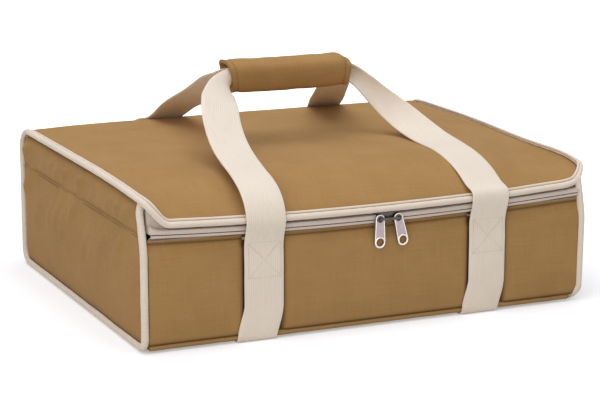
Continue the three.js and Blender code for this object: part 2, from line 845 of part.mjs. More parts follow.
// The origin is on the floor at the middle of the bag's whole box.
const reach = new THREE.Box3().setFromObject(bag);
bag.position.y = -(reach.min.y + reach.max.y) / 2;

export default bag;
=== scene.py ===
# %% [markdown]
# # A padded delivery bag
# The bag is a box of canvas over foam. Its lid folds at the back and a zip closes its front edge.
# Cream piping runs round the seams, and two webbing straps meet in a wrapped grip.
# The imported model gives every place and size, so the first step is to load it and to measure it.

import bpy
import numpy as np
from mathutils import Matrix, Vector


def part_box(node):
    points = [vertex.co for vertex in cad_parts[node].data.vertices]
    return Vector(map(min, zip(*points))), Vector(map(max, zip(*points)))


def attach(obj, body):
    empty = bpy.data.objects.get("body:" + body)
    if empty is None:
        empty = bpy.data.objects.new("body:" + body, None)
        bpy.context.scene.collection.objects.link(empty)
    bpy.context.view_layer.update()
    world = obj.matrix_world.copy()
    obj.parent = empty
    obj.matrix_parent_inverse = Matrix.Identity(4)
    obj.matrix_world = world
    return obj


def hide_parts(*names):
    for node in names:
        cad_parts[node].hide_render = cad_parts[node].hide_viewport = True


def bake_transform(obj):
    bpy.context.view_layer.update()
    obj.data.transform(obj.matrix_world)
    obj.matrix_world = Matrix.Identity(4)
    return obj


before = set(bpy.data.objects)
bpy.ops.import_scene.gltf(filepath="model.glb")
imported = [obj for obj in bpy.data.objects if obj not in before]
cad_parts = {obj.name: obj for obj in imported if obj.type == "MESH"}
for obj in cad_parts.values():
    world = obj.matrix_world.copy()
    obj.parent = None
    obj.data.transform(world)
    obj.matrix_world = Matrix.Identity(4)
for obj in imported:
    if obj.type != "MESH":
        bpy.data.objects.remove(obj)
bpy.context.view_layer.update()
scene = bpy.context.scene
scene.view_settings.view_transform = "Standard"
MM = 0.001

# %% [markdown]
# ## Camera
# The picture was taken from in front, a little to the left and above, with a long lens.
# The camera stands back from a point near the middle of the bag, along the direction that two
# angles give, so turning and tilting are two plain numbers.

# %% Camera
CAMERA_TURN = np.radians(-24.23)
CAMERA_TILT = np.radians(12.52)
CAMERA_AIM = np.array((15.98, 21.15, 76.84)) * MM
CAMERA_DISTANCE = 2000 * MM

lens = bpy.data.cameras.new("camera")
lens.sensor_width = 36
lens.lens = 120
camera = bpy.data.objects.new("camera", lens)
scene.collection.objects.link(camera)
backward = np.array(
    (
        np.sin(CAMERA_TURN) * np.cos(CAMERA_TILT),
        -np.cos(CAMERA_TURN) * np.cos(CAMERA_TILT),
        np.sin(CAMERA_TILT),
    )
)
camera.location = CAMERA_AIM + CAMERA_DISTANCE * backward
camera.rotation_euler = (np.pi / 2 - CAMERA_TILT, 0, CAMERA_TURN)
scene.camera = camera
print("camera at", np.round(camera.location, 3))

# %% [markdown]
# ## Measures
# Faces of the box are read from the model. The lid's line is repeated here as a formula, because
# the lid, its piping, its lining and the tops of the side walls all follow it.

# %% Measures of the bag
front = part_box("front_panel")[0].y
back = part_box("back_panel")[1].y
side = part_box("right_side_panel")[1].x
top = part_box("lid_top_panel")[1].z
panel_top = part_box("front_panel")[1].z
hem_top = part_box("front_panel")[0].z
STRAP_HALF = 19 * MM
strap_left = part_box("left_sewn_strap")[0].x + STRAP_HALF
strap_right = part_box("right_sewn_strap")[0].x + STRAP_HALF
zip_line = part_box("upper_zip_coil")[0].z - 0.15 * MM

ROLL = 22 * MM
FOLD = 130 * MM
DROOP = 29.5 * MM
DROOP_RUN = 76 * MM
OVERHANG = 1.4 * MM
PIPING = 3.4 * MM
PIPING_INSET = 0.8 * MM
LEAN = 10.5 * MM
PANEL_INSET = 4.6 * MM
WALL_INSET = 4.4 * MM
THIN_CLOTH = 0.7 * MM
HEM_GROOVE = 3.7 * MM
MIRROR = np.array((-1, 1, 1))


def ease(low, high, value):
    """Smooth step: 0 below low, 1 above high, and 3t^2 - 2t^3 between them."""
    share = np.clip((value - low) / (high - low), 0, 1)
    return share * share * (3 - 2 * share)


def smile(x):
    """The zip and the edges beside it hang in the middle: they rise with the square of the distance."""
    return 3.4 * MM * (x / (175 * MM)) ** 2


def corner_size(x):
    """Radius of the lid's front corners: the right one is rounder than the left one."""
    return np.where(x < 0, 15 * MM, 26 * MM)


def flare(x, y):
    """How far the lid's edge stands out beside the right front corner: a bell along the side."""
    return np.where(x < 0, 0, 11 * MM) * np.exp(-(((y - front - 48 * MM) / (51 * MM)) ** 2))


def lid_height(x, y):
    """Top face of the lid: flat, and near the front it falls by the droop times (1 - share) squared.

    The droop is less towards the ends, and at the corners the edge climbs to the side walls. Along
    the sides the fall starts further back.
    """
    start = np.where(x < 0, 197.6 * MM, 208 * MM)
    climb_run = np.where(x < 0, 30 * MM, 28.7 * MM)
    away = np.abs(x) - flare(x, y) * np.clip((np.abs(x) - side) / corner_size(x) + 1, 0, 1)
    longer = np.where(x < 0, 0.9, 2.55) * ease(140 * MM, side, away)
    share = np.minimum((y - front) / (DROOP_RUN * (1 + longer)), 1)
    droop = DROOP - smile(x) - 22.5 * MM * ease(start, start + climb_run, away)
    return top - droop * (1 - share) ** 2


def lid_half(x, y, inset):
    """Half of the lid's width at a depth, on the side of x: a straight run with a quarter circle in front."""
    radius = corner_size(x) - inset
    share = np.clip((y - front + OVERHANG - inset) / radius, 0, 1)
    bow = np.sqrt(1 - (1 - share) ** 2)
    return side - PIPING_INSET - inset - radius + (radius + flare(x, y)) * bow


print("box of the bag in mm:", np.round(np.array((front, back, side, top)) * 1000, 2))

# %% [markdown]
# ## Surfaces from arrays
# Every new piece is a grid of points. Cloth becomes a closed shell: the grid, a copy of it moved
# inwards along the normals, and a rim that joins the two. A cord is a ring carried along a path.
# A row of stitches or teeth is one small shape repeated, all worked out as whole arrays.

# %% Helpers for meshes


def unit(vectors):
    """Vectors scaled to length one."""
    return vectors / np.maximum(np.linalg.norm(vectors, axis=-1, keepdims=True), 1e-12)


def ripple(value, wave, seed):
    """Uneven ripple from -1 to 1: three sines whose lengths are not multiples of each other."""
    turn = 2 * np.pi * value / wave
    return (np.sin(turn + seed) + np.sin(1.618 * turn + 2.3 * seed) + np.sin(0.724 * turn + 4.1 * seed)) / 3


def quads(rows, columns, wrap=False, start=0):
    """Corner numbers of the cells of a grid; with wrap the last column meets the first."""
    cells = columns if wrap else columns - 1
    row, column = np.meshgrid(np.arange(rows - 1), np.arange(cells), indexing="ij")
    ahead = (column + 1) % columns
    this = row * columns
    after = this + columns
    corners = (this + column, after + column, after + ahead, this + ahead)
    return start + np.stack(corners, axis=-1).reshape(-1, 4)


def make_piece(name, points, faces, uv=None, flat_from=None):
    """A mesh object from points and faces; faces after flat_from keep hard edges."""
    mesh = bpy.data.meshes.new(name)
    mesh.from_pydata(points.reshape(-1, 3).tolist(), [], faces)
    smooth = np.ones(len(mesh.polygons), bool)
    if flat_from is not None:
        smooth[flat_from:] = False
    mesh.polygons.foreach_set("use_smooth", smooth)
    if uv is not None:
        corner = np.zeros(len(mesh.loops), np.int32)
        mesh.loops.foreach_get("vertex_index", corner)
        layer = mesh.uv_layers.new(name="cloth")
        layer.data.foreach_set("uv", uv.reshape(-1, 2)[corner].astype(np.float32).ravel())
    mesh.validate()
    mesh.update()
    piece = bpy.data.objects.new(name, mesh)
    scene.collection.objects.link(piece)
    print(name, len(mesh.polygons), "faces")
    return piece


def grid_normals(points, wrap=False):
    """Normals of a grid: the cross product of its two directions at each point."""
    along = np.gradient(points, axis=0)
    if wrap:
        across = np.roll(points, -1, axis=1) - np.roll(points, 1, axis=1)
    else:
        across = np.gradient(points, axis=1)
    return unit(np.cross(along, across))


def lengths(points, axis):
    """Distance run along one direction of a grid, from its first point."""
    steps = np.linalg.norm(np.diff(points, axis=axis), axis=-1)
    start = np.zeros_like(np.take(steps, [0], axis=axis))
    return np.concatenate((start, np.cumsum(steps, axis=axis)), axis=axis)


def shell(name, points, thickness, wrap=False):
    """Closed cloth: the grid, a copy at a depth along the normals, and a rim round the open edges."""
    rows, columns = points.shape[:2]
    depth = np.broadcast_to(thickness, points.shape[:2])[..., None]
    inner = points - grid_normals(points, wrap) * depth
    count = rows * columns
    outer_faces = quads(rows, columns, wrap)
    inner_faces = quads(rows, columns, wrap, count)[:, ::-1]
    number = np.arange(count).reshape(rows, columns)
    if wrap:
        number = np.concatenate((number, number[:, :1]), axis=1)
    rims = [(number[0, :-1], number[0, 1:]), (number[-1, 1:], number[-1, :-1])]
    if not wrap:
        rims += [(number[1:, 0], number[:-1, 0]), (number[:-1, -1], number[1:, -1])]
    rim_faces = np.concatenate([np.stack((a, b, b + count, a + count), axis=1) for a, b in rims])
    uv = np.stack((lengths(points, 0), lengths(points, 1)), axis=-1)
    faces = np.concatenate((outer_faces, inner_faces, rim_faces)).tolist()
    everything = np.concatenate((points.reshape(-1, 3), inner.reshape(-1, 3)))
    return make_piece(name, everything, faces, np.concatenate((uv, uv)), len(outer_faces) + len(inner_faces))


def mark_painted_shade(piece, near):
    """Keeps with each point of a shell how much painted shade it gets, from 0 to 1, most at a seam, for its
    material's colour.
    """
    layer = piece.data.attributes.new("seam_shade", "FLOAT", "POINT")
    layer.data.foreach_set("value", np.tile(near.ravel(), 2).astype(np.float32))


def rings(name, grid, uv=None):
    """Closed skin over rings of points, each ring wrapped, with a flat cap at each end."""
    rows, columns = grid.shape[:2]
    faces = quads(rows, columns, True).tolist()
    first = np.arange(columns)
    caps = [first.tolist(), (first[::-1] + (rows - 1) * columns).tolist()]
    if uv is None:
        uv = np.stack((lengths(grid, 0), lengths(grid, 1)), axis=-1)
    return make_piece(name, grid, faces + caps, uv, len(faces))


def tube_grid(path, outward, radius, sides=16):
    """Rings round a path: the centre plus the radius times (cos, sin) of the way out and the way across."""
    along = unit(np.gradient(path, axis=0))
    out = unit(outward - along * np.sum(outward * along, axis=1, keepdims=True))
    across = np.cross(along, out)
    angle = -2 * np.pi * np.arange(sides) / sides
    size = np.broadcast_to(radius, len(path))[:, None, None]
    ring = np.cos(angle)[None, :, None] * out[:, None] + np.sin(angle)[None, :, None] * across[:, None]
    return path[:, None] + size * ring


def evenly(points, step):
    """Points at an even spacing along a line of points."""
    run = lengths(points[:, :3], 0)
    count = max(int(round(run[-1] / step)), 2) + 1
    places = np.linspace(0, run[-1], count)
    return np.stack([np.interp(places, run, column) for column in points.T], axis=1)


def spline(keys, step):
    """Natural cubic spline through the keys by distance, then points at an even spacing."""
    run = np.concatenate(([0], np.cumsum(np.linalg.norm(np.diff(keys[:, :3], axis=0), axis=1))))
    gaps = np.diff(run)
    matrix = np.diag(np.concatenate(([1], 2 * (gaps[:-1] + gaps[1:]), [1])))
    inner = np.arange(1, len(run) - 1)
    matrix[inner, inner - 1] = gaps[:-1]
    matrix[inner, inner + 1] = gaps[1:]
    slope = np.diff(keys, axis=0) / gaps[:, None]
    bend = np.linalg.solve(matrix, np.concatenate((keys[:1] * 0, 6 * np.diff(slope, axis=0), keys[:1] * 0)))
    place = np.linspace(0, run[-1], 3000)
    cell = np.clip(np.searchsorted(run, place, side="right") - 1, 0, len(gaps) - 1)
    size = gaps[cell][:, None]
    left = (run[cell + 1] - place)[:, None]
    right = (place - run[cell])[:, None]
    curve = (bend[cell] * left**3 + bend[cell + 1] * right**3) / (6 * size)
    curve = curve + (keys[cell] / size - bend[cell] * size / 6) * left
    curve = curve + (keys[cell + 1] / size - bend[cell + 1] * size / 6) * right
    return evenly(curve, step)


def rounded_line(corners, radius, steps=8):
    """A line through 2-D corners whose inner corners are arcs of the given radii."""
    line = [np.array(corners[0])[None]]
    for before, corner, after, size in zip(corners, corners[1:], corners[2:], radius):
        into = unit(np.array(before) - corner)
        out = unit(np.array(after) - corner)
        half = np.arccos(np.clip(into @ out, -1, 1)) / 2
        centre = np.array(corner) + unit(into + out) * size / np.sin(half)
        first = np.array(corner) + into * size / np.tan(half) - centre
        last = np.array(corner) + out * size / np.tan(half) - centre
        share = np.linspace(0, 1, steps + 1)[:, None]
        spread = np.pi - 2 * half
        arc = (np.sin((1 - share) * spread) * first + np.sin(share * spread) * last) / np.sin(spread)
        line.append(centre + arc)
    line.append(np.array(corners[-1])[None])
    return np.concatenate(line)


def repeat(name, shape, faces, centres, along, up):
    """One small shape set at every centre: centre + x times along + y times across + z times up."""
    across = np.cross(up, along)
    points = (
        centres[:, None]
        + shape[None, :, :1] * along[:, None]
        + shape[None, :, 1:2] * across[:, None]
        + shape[None, :, 2:] * up[:, None]
    )
    numbers = np.arange(len(centres)) * len(shape)
    every = [[corner + first for corner in face] for first in numbers.tolist() for face in faces]
    return make_piece(name, points, every)


def thread_shape(length, thickness):
    """One stitch: a six-sided bead that is thin at its two ends."""
    place = np.array((-0.5, -0.36, 0, 0.36, 0.5)) * length
    size = np.array((0.35, 0.9, 1, 0.9, 0.35)) * thickness / 2
    angle = -2 * np.pi * np.arange(6) / 6
    ring = np.stack((np.cos(angle), np.sin(angle)), axis=1)
    points = np.concatenate(
        (np.repeat(place, 6)[:, None], (size[:, None, None] * ring[None]).reshape(-1, 2)), axis=1
    )
    caps = [list(range(6)), list(range(29, 23, -1))]
    return points, quads(5, 6, True).tolist() + caps


def stitches(name, path, up, pitch=3.6 * MM, length=2.7 * MM, thickness=0.75 * MM):
    """A row of stitches along a path, each lying across the given way up."""
    line = evenly(np.concatenate((path, up), axis=1), pitch)
    along = unit(np.gradient(line[:, :3], axis=0))
    way = unit(line[:, 3:] - along * np.sum(line[:, 3:] * along, axis=1, keepdims=True))
    shape, faces = thread_shape(length, thickness)
    return repeat(name, shape, faces, line[:, :3], along, way)


# %% [markdown]
# ## Shader arithmetic
# A material is easier to read as a sum than as a web of nodes. A Strand wraps one socket, and
# adding or multiplying strands adds the Math nodes. Every other node comes from Finish.add.

# %% Helpers for materials


class Strand:
    """One socket that takes part in Python arithmetic."""

    def __init__(self, finish, socket):
        self.finish = finish
        self.socket = socket

    def math(self, operation, *values):
        inputs = dict(enumerate(values))
        return self.finish.add("ShaderNodeMath", {"operation": operation}, inputs)

    def __add__(self, other):
        return self.math("ADD", self, other)

    def __mul__(self, other):
        return self.math("MULTIPLY", self, other)

    def __radd__(self, other):
        return self.math("ADD", other, self)

    def __rsub__(self, other):
        return self.math("SUBTRACT", other, self)

    def __rmul__(self, other):
        return self.math("MULTIPLY", other, self)

    def sin(self):
        return self.math("SINE", self)

    def size(self):
        return self.math("ABSOLUTE", self)

    def least(self, other):
        return self.math("MINIMUM", self, other)

    def most(self, other):
        return self.math("MAXIMUM", self, other)

    def step(self, low, high):
        settings = {"interpolation_type": "SMOOTHSTEP"}
        inputs = {"Value": self, "From Min": low, "From Max": high}
        return self.finish.add("ShaderNodeMapRange", settings, inputs)


class Finish:
    """A material whose nodes are added by Python expressions."""

    def __init__(self, name):
        self.material = bpy.data.materials.new(name)
        self.material.use_nodes = True
        self.tree = self.material.node_tree
        self.surface = self.tree.nodes["Principled BSDF"]

    def add(self, kind, settings=None, inputs=None, output=0):
        """Any node: its type, its settings first, then the values or links of its sockets."""
        node = self.tree.nodes.new(kind)
        for key, value in (settings or {}).items():
            setattr(node, key, value)
        for key, value in (inputs or {}).items():
            self.put(node.inputs[key], value)
        return Strand(self, node.outputs[output])

    def put(self, socket, value):
        if isinstance(value, Strand):
            self.tree.links.new(value.socket, socket)
        else:
            socket.default_value = value

    def mix(self, share, first, second):
        """Colour between two colours."""
        return self.add("ShaderNodeMix", {"data_type": "RGBA"}, {0: share, 6: first, 7: second}, 2)

    def place(self, stretch=(1, 1, 1), source="UV"):
        """The cloth's own coordinates in metres, or the object's, stretched."""
        if source == "UV":
            coordinates = self.add("ShaderNodeUVMap", {"uv_map": "cloth"})
        else:
            coordinates = self.add("ShaderNodeTexCoord", output=source)
        return self.add("ShaderNodeMapping", None, {"Vector": coordinates, "Scale": stretch})

    def axes(self, vector):
        split = self.add("ShaderNodeSeparateXYZ", None, {"Vector": vector})
        return split, Strand(self, split.socket.node.outputs[1]), Strand(self, split.socket.node.outputs[2])

    def noise(self, vector, scale=1.0, detail=2.0, rough=0.5):
        inputs = {"Vector": vector, "Scale": scale, "Detail": detail, "Roughness": rough}
        return self.add("ShaderNodeTexNoise", None, inputs)

    def bump(self, height, distance, strength=1.0):
        inputs = {"Height": height, "Distance": distance, "Strength": strength}
        return self.add("ShaderNodeBump", None, inputs)

    def set(self, **values):
        """Sockets of the surface, with underscores for spaces."""
        for key, value in values.items():
            self.put(self.surface.inputs[key.replace("_", " ")], value)


def paint(red, green, blue):
    """A colour as it is seen, 0 to 255, turned into the light that Blender mixes."""
    seen = np.array((red, green, blue)) / 255
    light = np.where(seen <= 0.04045, seen / 12.92, ((seen + 0.055) / 1.055) ** 2.4)
    return (*light.tolist(), 1.0)


# %% [markdown]
# ## Cloth finishes
# Canvas is a plain weave: yarns of about a millimetre that pass over and under each other. Its
# yarns are uneven, so long thin noise makes slubs both ways, and wide noise makes it look used.
# Webbing is denser and ribbed along its length. Both need the cloth's own coordinates, in metres.

# %% Canvas


def plain_weave(finish, yarn):
    """Height of a plain weave: round yarns both ways, and a checkerboard says which one is on top."""
    across, along, _ = finish.axes(finish.place((np.pi / yarn, np.pi / yarn, 1)))
    warp = across.sin()
    weft = along.sin()
    over = (warp * weft).step(-0.35, 0.35)
    return warp.size() * over + weft.size() * (1 - over)


def canvas_finish(name, light, dark, yarn=1.05 * MM):
    """Canvas: two shades mixed by weave, slubs and wide wear, darkened by painted shade near seams, with the
    weave as bump.
    """
    finish = Finish(name)
    weave = plain_weave(finish, yarn)
    slub_across = finish.noise(finish.place((28, 900, 1)), 1.0, 2.0)
    slub_along = finish.noise(finish.place((900, 28, 1)), 1.0, 2.0)
    worn = finish.noise(finish.place((1, 1, 1)), 16.0, 3.0, 0.6)
    shade = 0.1 * weave + 0.35 * slub_across + 0.3 * slub_along + 0.55 * worn
    cloth = finish.mix(shade.step(0.3, 1.0), dark, light)
    # Painted shade: each point's stored shade mixes the cloth towards dark brown near seams, piping, strap
    # edges and grooves.
    near = finish.add("ShaderNodeAttribute", {"attribute_name": "seam_shade"}, output=2)
    finish.set(Base_Color=finish.mix(0.85 * near, cloth, paint(70, 49, 26)))
    finish.set(Roughness=0.97 - 0.1 * weave)
    finish.set(Specular_IOR_Level=0.12, Sheen_Weight=0.03)
    height = 0.28 * weave + 0.35 * slub_across + 0.3 * slub_along
    finish.set(Normal=finish.bump(height, 0.3 * MM, 0.6))
    return finish.material


canvas = canvas_finish("tan_canvas", paint(180, 140, 88), paint(160, 121, 72))
# A darker copy of the canvas, for the floor of the bag: painted shade under it.
underside_shaded_canvas = canvas_finish("underside_shade_canvas", paint(166, 127, 78), paint(140, 104, 60))
print("canvas finishes made")

# %% Webbing, piping and tape


def webbing_finish(name, light, dark):
    """Webbing: ribs along its length crossed by fine weft, darker between the ribs."""
    finish = Finish(name)
    across, along, _ = finish.axes(finish.place())
    rib = (across * (np.pi / (2.1 * MM))).sin().size()
    weft = ((along + 0.25 * across) * (np.pi / (1.1 * MM))).sin().size()
    fuzz = finish.noise(finish.place((500, 60, 1)), 1.0, 3.0)
    worn = finish.noise(finish.place((1, 1, 1)), 22.0, 3.0)
    shade = 0.35 * rib + 0.25 * weft + 0.45 * fuzz + 0.5 * worn
    finish.set(Base_Color=finish.mix(shade.step(0.35, 1.1), dark, light))
    finish.set(Roughness=0.95 - 0.12 * weft)
    finish.set(Specular_IOR_Level=0.25, Sheen_Weight=0.1)
    finish.set(Normal=finish.bump(0.35 * rib + 0.5 * weft + 0.3 * fuzz, 0.3 * MM, 0.6))
    return finish.material


webbing = webbing_finish("cream_webbing", paint(241, 227, 208), paint(226, 209, 188))
piping_cloth = webbing_finish("cream_piping", paint(238, 222, 202), paint(220, 202, 180))
tape_cloth = webbing_finish("zip_tape", paint(222, 206, 192), paint(200, 182, 166))
print("webbing finishes made")

# %% Thread, metal and lining


def thread_finish(name, light, dark):
    """Thread: fine fuzz in colour and bump, on object coordinates."""
    finish = Finish(name)
    twist = finish.noise(finish.place((2400, 2400, 2400), "Object"), 1.0, 2.0)
    finish.set(Base_Color=finish.mix(twist, dark, light), Roughness=0.75 + 0.2 * twist)
    finish.set(Normal=finish.bump(twist, 0.1 * MM, 0.5))
    return finish.material


def nickel_finish(name, dark, light, rough):
    """Plated metal: a little cloudy, with rubbed patches that are rougher."""
    finish = Finish(name)
    cloud = finish.noise(finish.place((1, 1, 1), "Object"), 320.0, 4.0, 0.6)
    finish.set(Base_Color=finish.mix(cloud, dark, light))
    finish.set(Roughness=rough + 0.2 * cloud)
    finish.set(Metallic=1.0)
    finish.set(Normal=finish.bump(cloud, 0.04 * MM, 0.4))
    return finish.material


def lining_finish():
    """Laminated film: silver with fine creases and a faint square scrim."""
    finish = Finish("silver_lining")
    across, along, _ = finish.axes(finish.place((np.pi / (4 * MM), np.pi / (4 * MM), 1)))
    scrim = across.sin().size().least(along.sin().size()).step(0.0, 0.18)
    crease = finish.noise(finish.place((1, 1, 1)), 70.0, 5.0, 0.65)
    shade = 0.35 * scrim + 0.65 * crease
    finish.set(Base_Color=finish.mix(shade, paint(150, 154, 158), paint(216, 219, 222)))
    finish.set(Roughness=0.28 + 0.25 * crease)
    finish.set(Metallic=0.75)
    finish.set(Normal=finish.bump(0.3 * scrim + crease, 0.8 * MM, 0.5))
    return finish.material


def board_finish():
    """Pressed board: short dark fibres on object coordinates."""
    finish = Finish("pressed_board")
    fibre = finish.noise(finish.place((260, 90, 260), "Object"), 1.0, 4.0, 0.6)
    finish.set(Base_Color=finish.mix(fibre, paint(52, 50, 48), paint(92, 88, 84)))
    finish.set(Roughness=0.7 + 0.2 * fibre)
    finish.set(Normal=finish.bump(fibre, 0.2 * MM, 0.5))
    return finish.material


tan_thread = thread_finish("tan_thread", paint(150, 117, 74), paint(112, 84, 50))
cream_thread = thread_finish("cream_thread", paint(240, 230, 216), paint(208, 192, 170))
coil_thread = thread_finish("zip_coil", paint(196, 176, 154), paint(150, 128, 108))
nickel = nickel_finish("nickel", paint(150, 138, 140), paint(184, 170, 172), 0.3)
# Copies of the nickel: the brighter one, on the pulls' rims and rings, is painted highlight; the darker one,
# on the sliders and the pulls' eyes, is painted shade.
rim_highlight_nickel = nickel_finish("highlight_nickel", paint(214, 205, 196), paint(240, 234, 226), 0.25)
shaded_nickel = nickel_finish("shaded_nickel", paint(58, 50, 46), paint(112, 102, 98), 0.2)
silver = lining_finish()
board = board_finish()
print("other finishes made")


def dress(piece, material, slot, body=None, *nodes):
    """Gives a piece its material and, where named, its body, and hides the nodes that it stands for. Its slot
    is not used.
    """
    piece.data.materials.append(material)
    if body:
        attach(piece, body)
    if nodes:
        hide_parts(*nodes)
    return piece


def corners_of(node):
    """Lowest and highest corner of a node, as arrays."""
    low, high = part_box(node)
    return np.array(low), np.array(high)


def same_way(direction, count):
    """One direction repeated for each point of a path."""
    return np.tile(np.array(direction, float), (count, 1))


# %% [markdown]
# ## Lid and back
# One length of canvas goes over the lid, rolls down and becomes the back, so it is one grid: rows
# from the front edge over the roll to the floor, columns across. It bends where the lid folds, and
# it is padded, so it is crowned in the middle and pulled down along the piping.

# %% Lid and back cloth
LID_INSET = 2.2 * MM
LID_PAD = 6.4 * MM


def lid_edge_gap(x, y, inset):
    """Distance inside the lid's rounded outline: from its sides, its front and its front corners."""
    radius = corner_size(x) - inset
    out_x = np.abs(x) - (side - PIPING_INSET - inset - radius) - flare(x, y)
    out_y = (front - OVERHANG + inset + radius) - y
    round_part = np.hypot(np.maximum(out_x, 0), np.maximum(out_y, 0))
    return radius - round_part - np.minimum(np.maximum(out_x, out_y), 0)


def sewn_gap(x):
    """Distance from the nearest place where a panel is sewn down: its two ends or a strap's edge."""
    from_strap = np.minimum(np.abs(x - strap_left), np.abs(x - strap_right)) - STRAP_HALF
    return np.maximum(np.minimum(from_strap, side - np.abs(x)), 0)


def lid_and_back_grid():
    """Rows run over the lid, round the roll and down the back; columns run across."""
    nose = front - OVERHANG + LID_INSET
    radius = corner_size(1) - LID_INSET
    curve = nose + radius * (1 - np.cos(np.linspace(0, np.pi / 2, 24)))
    flat = np.linspace(curve[-1], back - ROLL, 100)[1:]
    turn = np.linspace(0, np.pi / 2, 12)[1:]
    drop = np.linspace(top - ROLL, hem_top, 36)[1:]
    y = np.concatenate((curve, flat, back - ROLL + ROLL * np.sin(turn), np.full(len(drop), back)))
    rise = np.concatenate((np.ones(len(curve) + len(flat)), np.cos(turn), np.zeros(len(drop))))
    below = np.concatenate((0 * curve, 0 * flat, ROLL - ROLL * np.cos(turn), top - drop))
    share = np.linspace(-1, 1, 150)[:, None]
    half = np.where(rise > 0.999, lid_half(share, y[None], LID_INSET), side - 4.2 * MM)
    x = share * half
    y = np.broadcast_to(y, x.shape)
    edge_y = y - LID_INSET * ease(nose + 30 * MM, nose, y)
    z = lid_height(share * lid_half(share, edge_y, 0), edge_y) - below
    gap = np.where(rise > 0.999, lid_edge_gap(x, y, LID_INSET), half - np.abs(x))
    crown = 0.8 * MM * (1 - share**2) * ease(front, front + 200 * MM, y) + 1.2 * MM * ease(0, 50 * MM, gap)
    tuck = (1.3 + 1.3 * ease(front + 50 * MM, front + 12 * MM, y)) * MM * np.exp(-gap / (1.8 * MM))
    pucker = 0.3 * MM * np.exp(-gap / (12 * MM)) * ripple(x + y, 11 * MM, 0.7)
    wave = 0.45 * MM * ripple(x + 0.4 * y, 170 * MM, 2.0) * ripple(y - 0.3 * x, 120 * MM, 1.1)
    lift = rise * (crown - tuck + pucker + wave)
    bulge = 2.4 * MM * (1 - np.exp(-sewn_gap(x) / (22 * MM))) * ease(hem_top, hem_top + 30 * MM, z)
    bulge = (1 - rise) * (bulge * ease(top - ROLL, top - 45 * MM, z) + 0.5 * wave)
    return np.stack((x, y + bulge, z + lift), axis=-1)


lid_grid = lid_and_back_grid()
lid_rim = lid_edge_gap(lid_grid[..., 0], lid_grid[..., 1], LID_INSET)
lid_cloth = shell("lid_and_back", lid_grid, LID_PAD * (0.25 + 0.75 * ease(1 * MM, 14 * MM, lid_rim)))
# Painted shade along the lid's edge beside the piping.
mark_painted_shade(lid_cloth, np.exp(-lid_rim / (1.5 * MM)))
dress(lid_cloth, canvas, "canvas")
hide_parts("lid_top_panel", "lid_foam", "back_panel", "back_foam")
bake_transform(lid_cloth)

# %% [markdown]
# ## Front, sides and floor
# The front is sewn down along its edges and under the straps, so it swells between those lines.
# Each side wall is one panel with a seam across it. Above the seam is the wedge that unfolds when
# the lid opens, and it is gathered, so it has upright puckers. It follows the lid at its top.

# %% Front panel


def foot_tuck(z):
    """How far the lower right front corner is rounded off: more and more towards the floor."""
    return 12 * MM * np.clip(1 - z / (24 * MM), 0, 1) ** 2


def front_grid():
    """Flat panel plus a swelling that is nothing at the sewn lines, and faint creases."""
    x = np.linspace(-side + PANEL_INSET, side - PANEL_INSET, 170)[:, None]
    share = np.concatenate((np.linspace(0, 0.8, 34), np.linspace(0.8, 1, 30)[1:]))[None]
    z = hem_top - 0.4 * MM + share * (panel_top + smile(x) - hem_top + 0.4 * MM)
    swell = (1 - np.exp(-sewn_gap(x) / (20 * MM))) * ease(hem_top, hem_top + 22 * MM, z)
    fall = panel_top + smile(x) - z
    swell = swell * ease(3 * MM, 26 * MM, fall)
    crease = 0.25 * MM * ripple(x + 0.6 * z, 90 * MM, 1.4) * ripple(z - 0.2 * x, 60 * MM, 0.4)
    roll = np.sqrt(np.maximum(1 - ((fall - 1.5 * MM) / (1.8 * MM)) ** 2, 0))
    hem = 1.5 * MM * roll - 0.9 * MM * np.exp(-(((fall - HEM_GROOVE) / (0.8 * MM)) ** 2))
    pucker = 0.22 * MM * ripple(x, 9 * MM, 2.2) * np.exp(-np.abs(fall - 7 * MM) / (5 * MM))
    dent = 2.6 * MM * np.exp(-sewn_gap(x) / (1.5 * MM))
    recess = 2.1 * MM * ease(15 * MM, 8 * MM, fall)
    y = front - 2.2 * MM * swell - crease - hem - pucker * (sewn_gap(x) > 0) + dent + recess
    x = x - foot_tuck(z) * ease(side - 45 * MM, side, x)
    return np.stack(np.broadcast_arrays(x, y, z), axis=-1)


front_points = front_grid()
thick = np.where(front_points[..., 2] < panel_top - 11 * MM, 6.4 * MM, 1.3 * MM)
front_wall = shell("front_wall", front_points, thick)
dress(front_wall, canvas, "canvas", "base", "front_panel", "front_foam")
# Painted shade along the strap edges, the bottom edge and the groove under the hem.
front_fall = panel_top + smile(front_points[..., 0]) - front_points[..., 2]
front_edge = np.minimum(sewn_gap(front_points[..., 0]), 1.3 * (front_points[..., 2] - hem_top))
front_edge = np.minimum(front_edge, 0.4 * MM + 1.2 * np.abs(front_fall - HEM_GROOVE))
mark_painted_shade(front_wall, np.exp(-np.maximum(front_edge, 0) / (1.5 * MM)))

# %% Side walls
WALL_FLOOR = 7.6 * MM
SEAM = 106 * MM


def corner_lean(z, sign):
    """How far a front corner leans back: nothing up to 88 mm, then faster and faster to its top."""
    return LEAN * (1.0 if sign < 0 else 0.3) * np.clip((z - 88 * MM) / (42 * MM), 0, 1.1) ** 1.3


def wall_top(y, sign):
    """Top of a side wall: just under the lid's piping, then round the roll at the back."""
    behind = np.clip(y - (back - ROLL), 0, ROLL - WALL_INSET)
    rolled = top - ROLL + np.sqrt((ROLL - WALL_INSET) ** 2 - behind**2)
    return np.where(y > back - ROLL, rolled, lid_height(sign * side, y) - WALL_INSET)


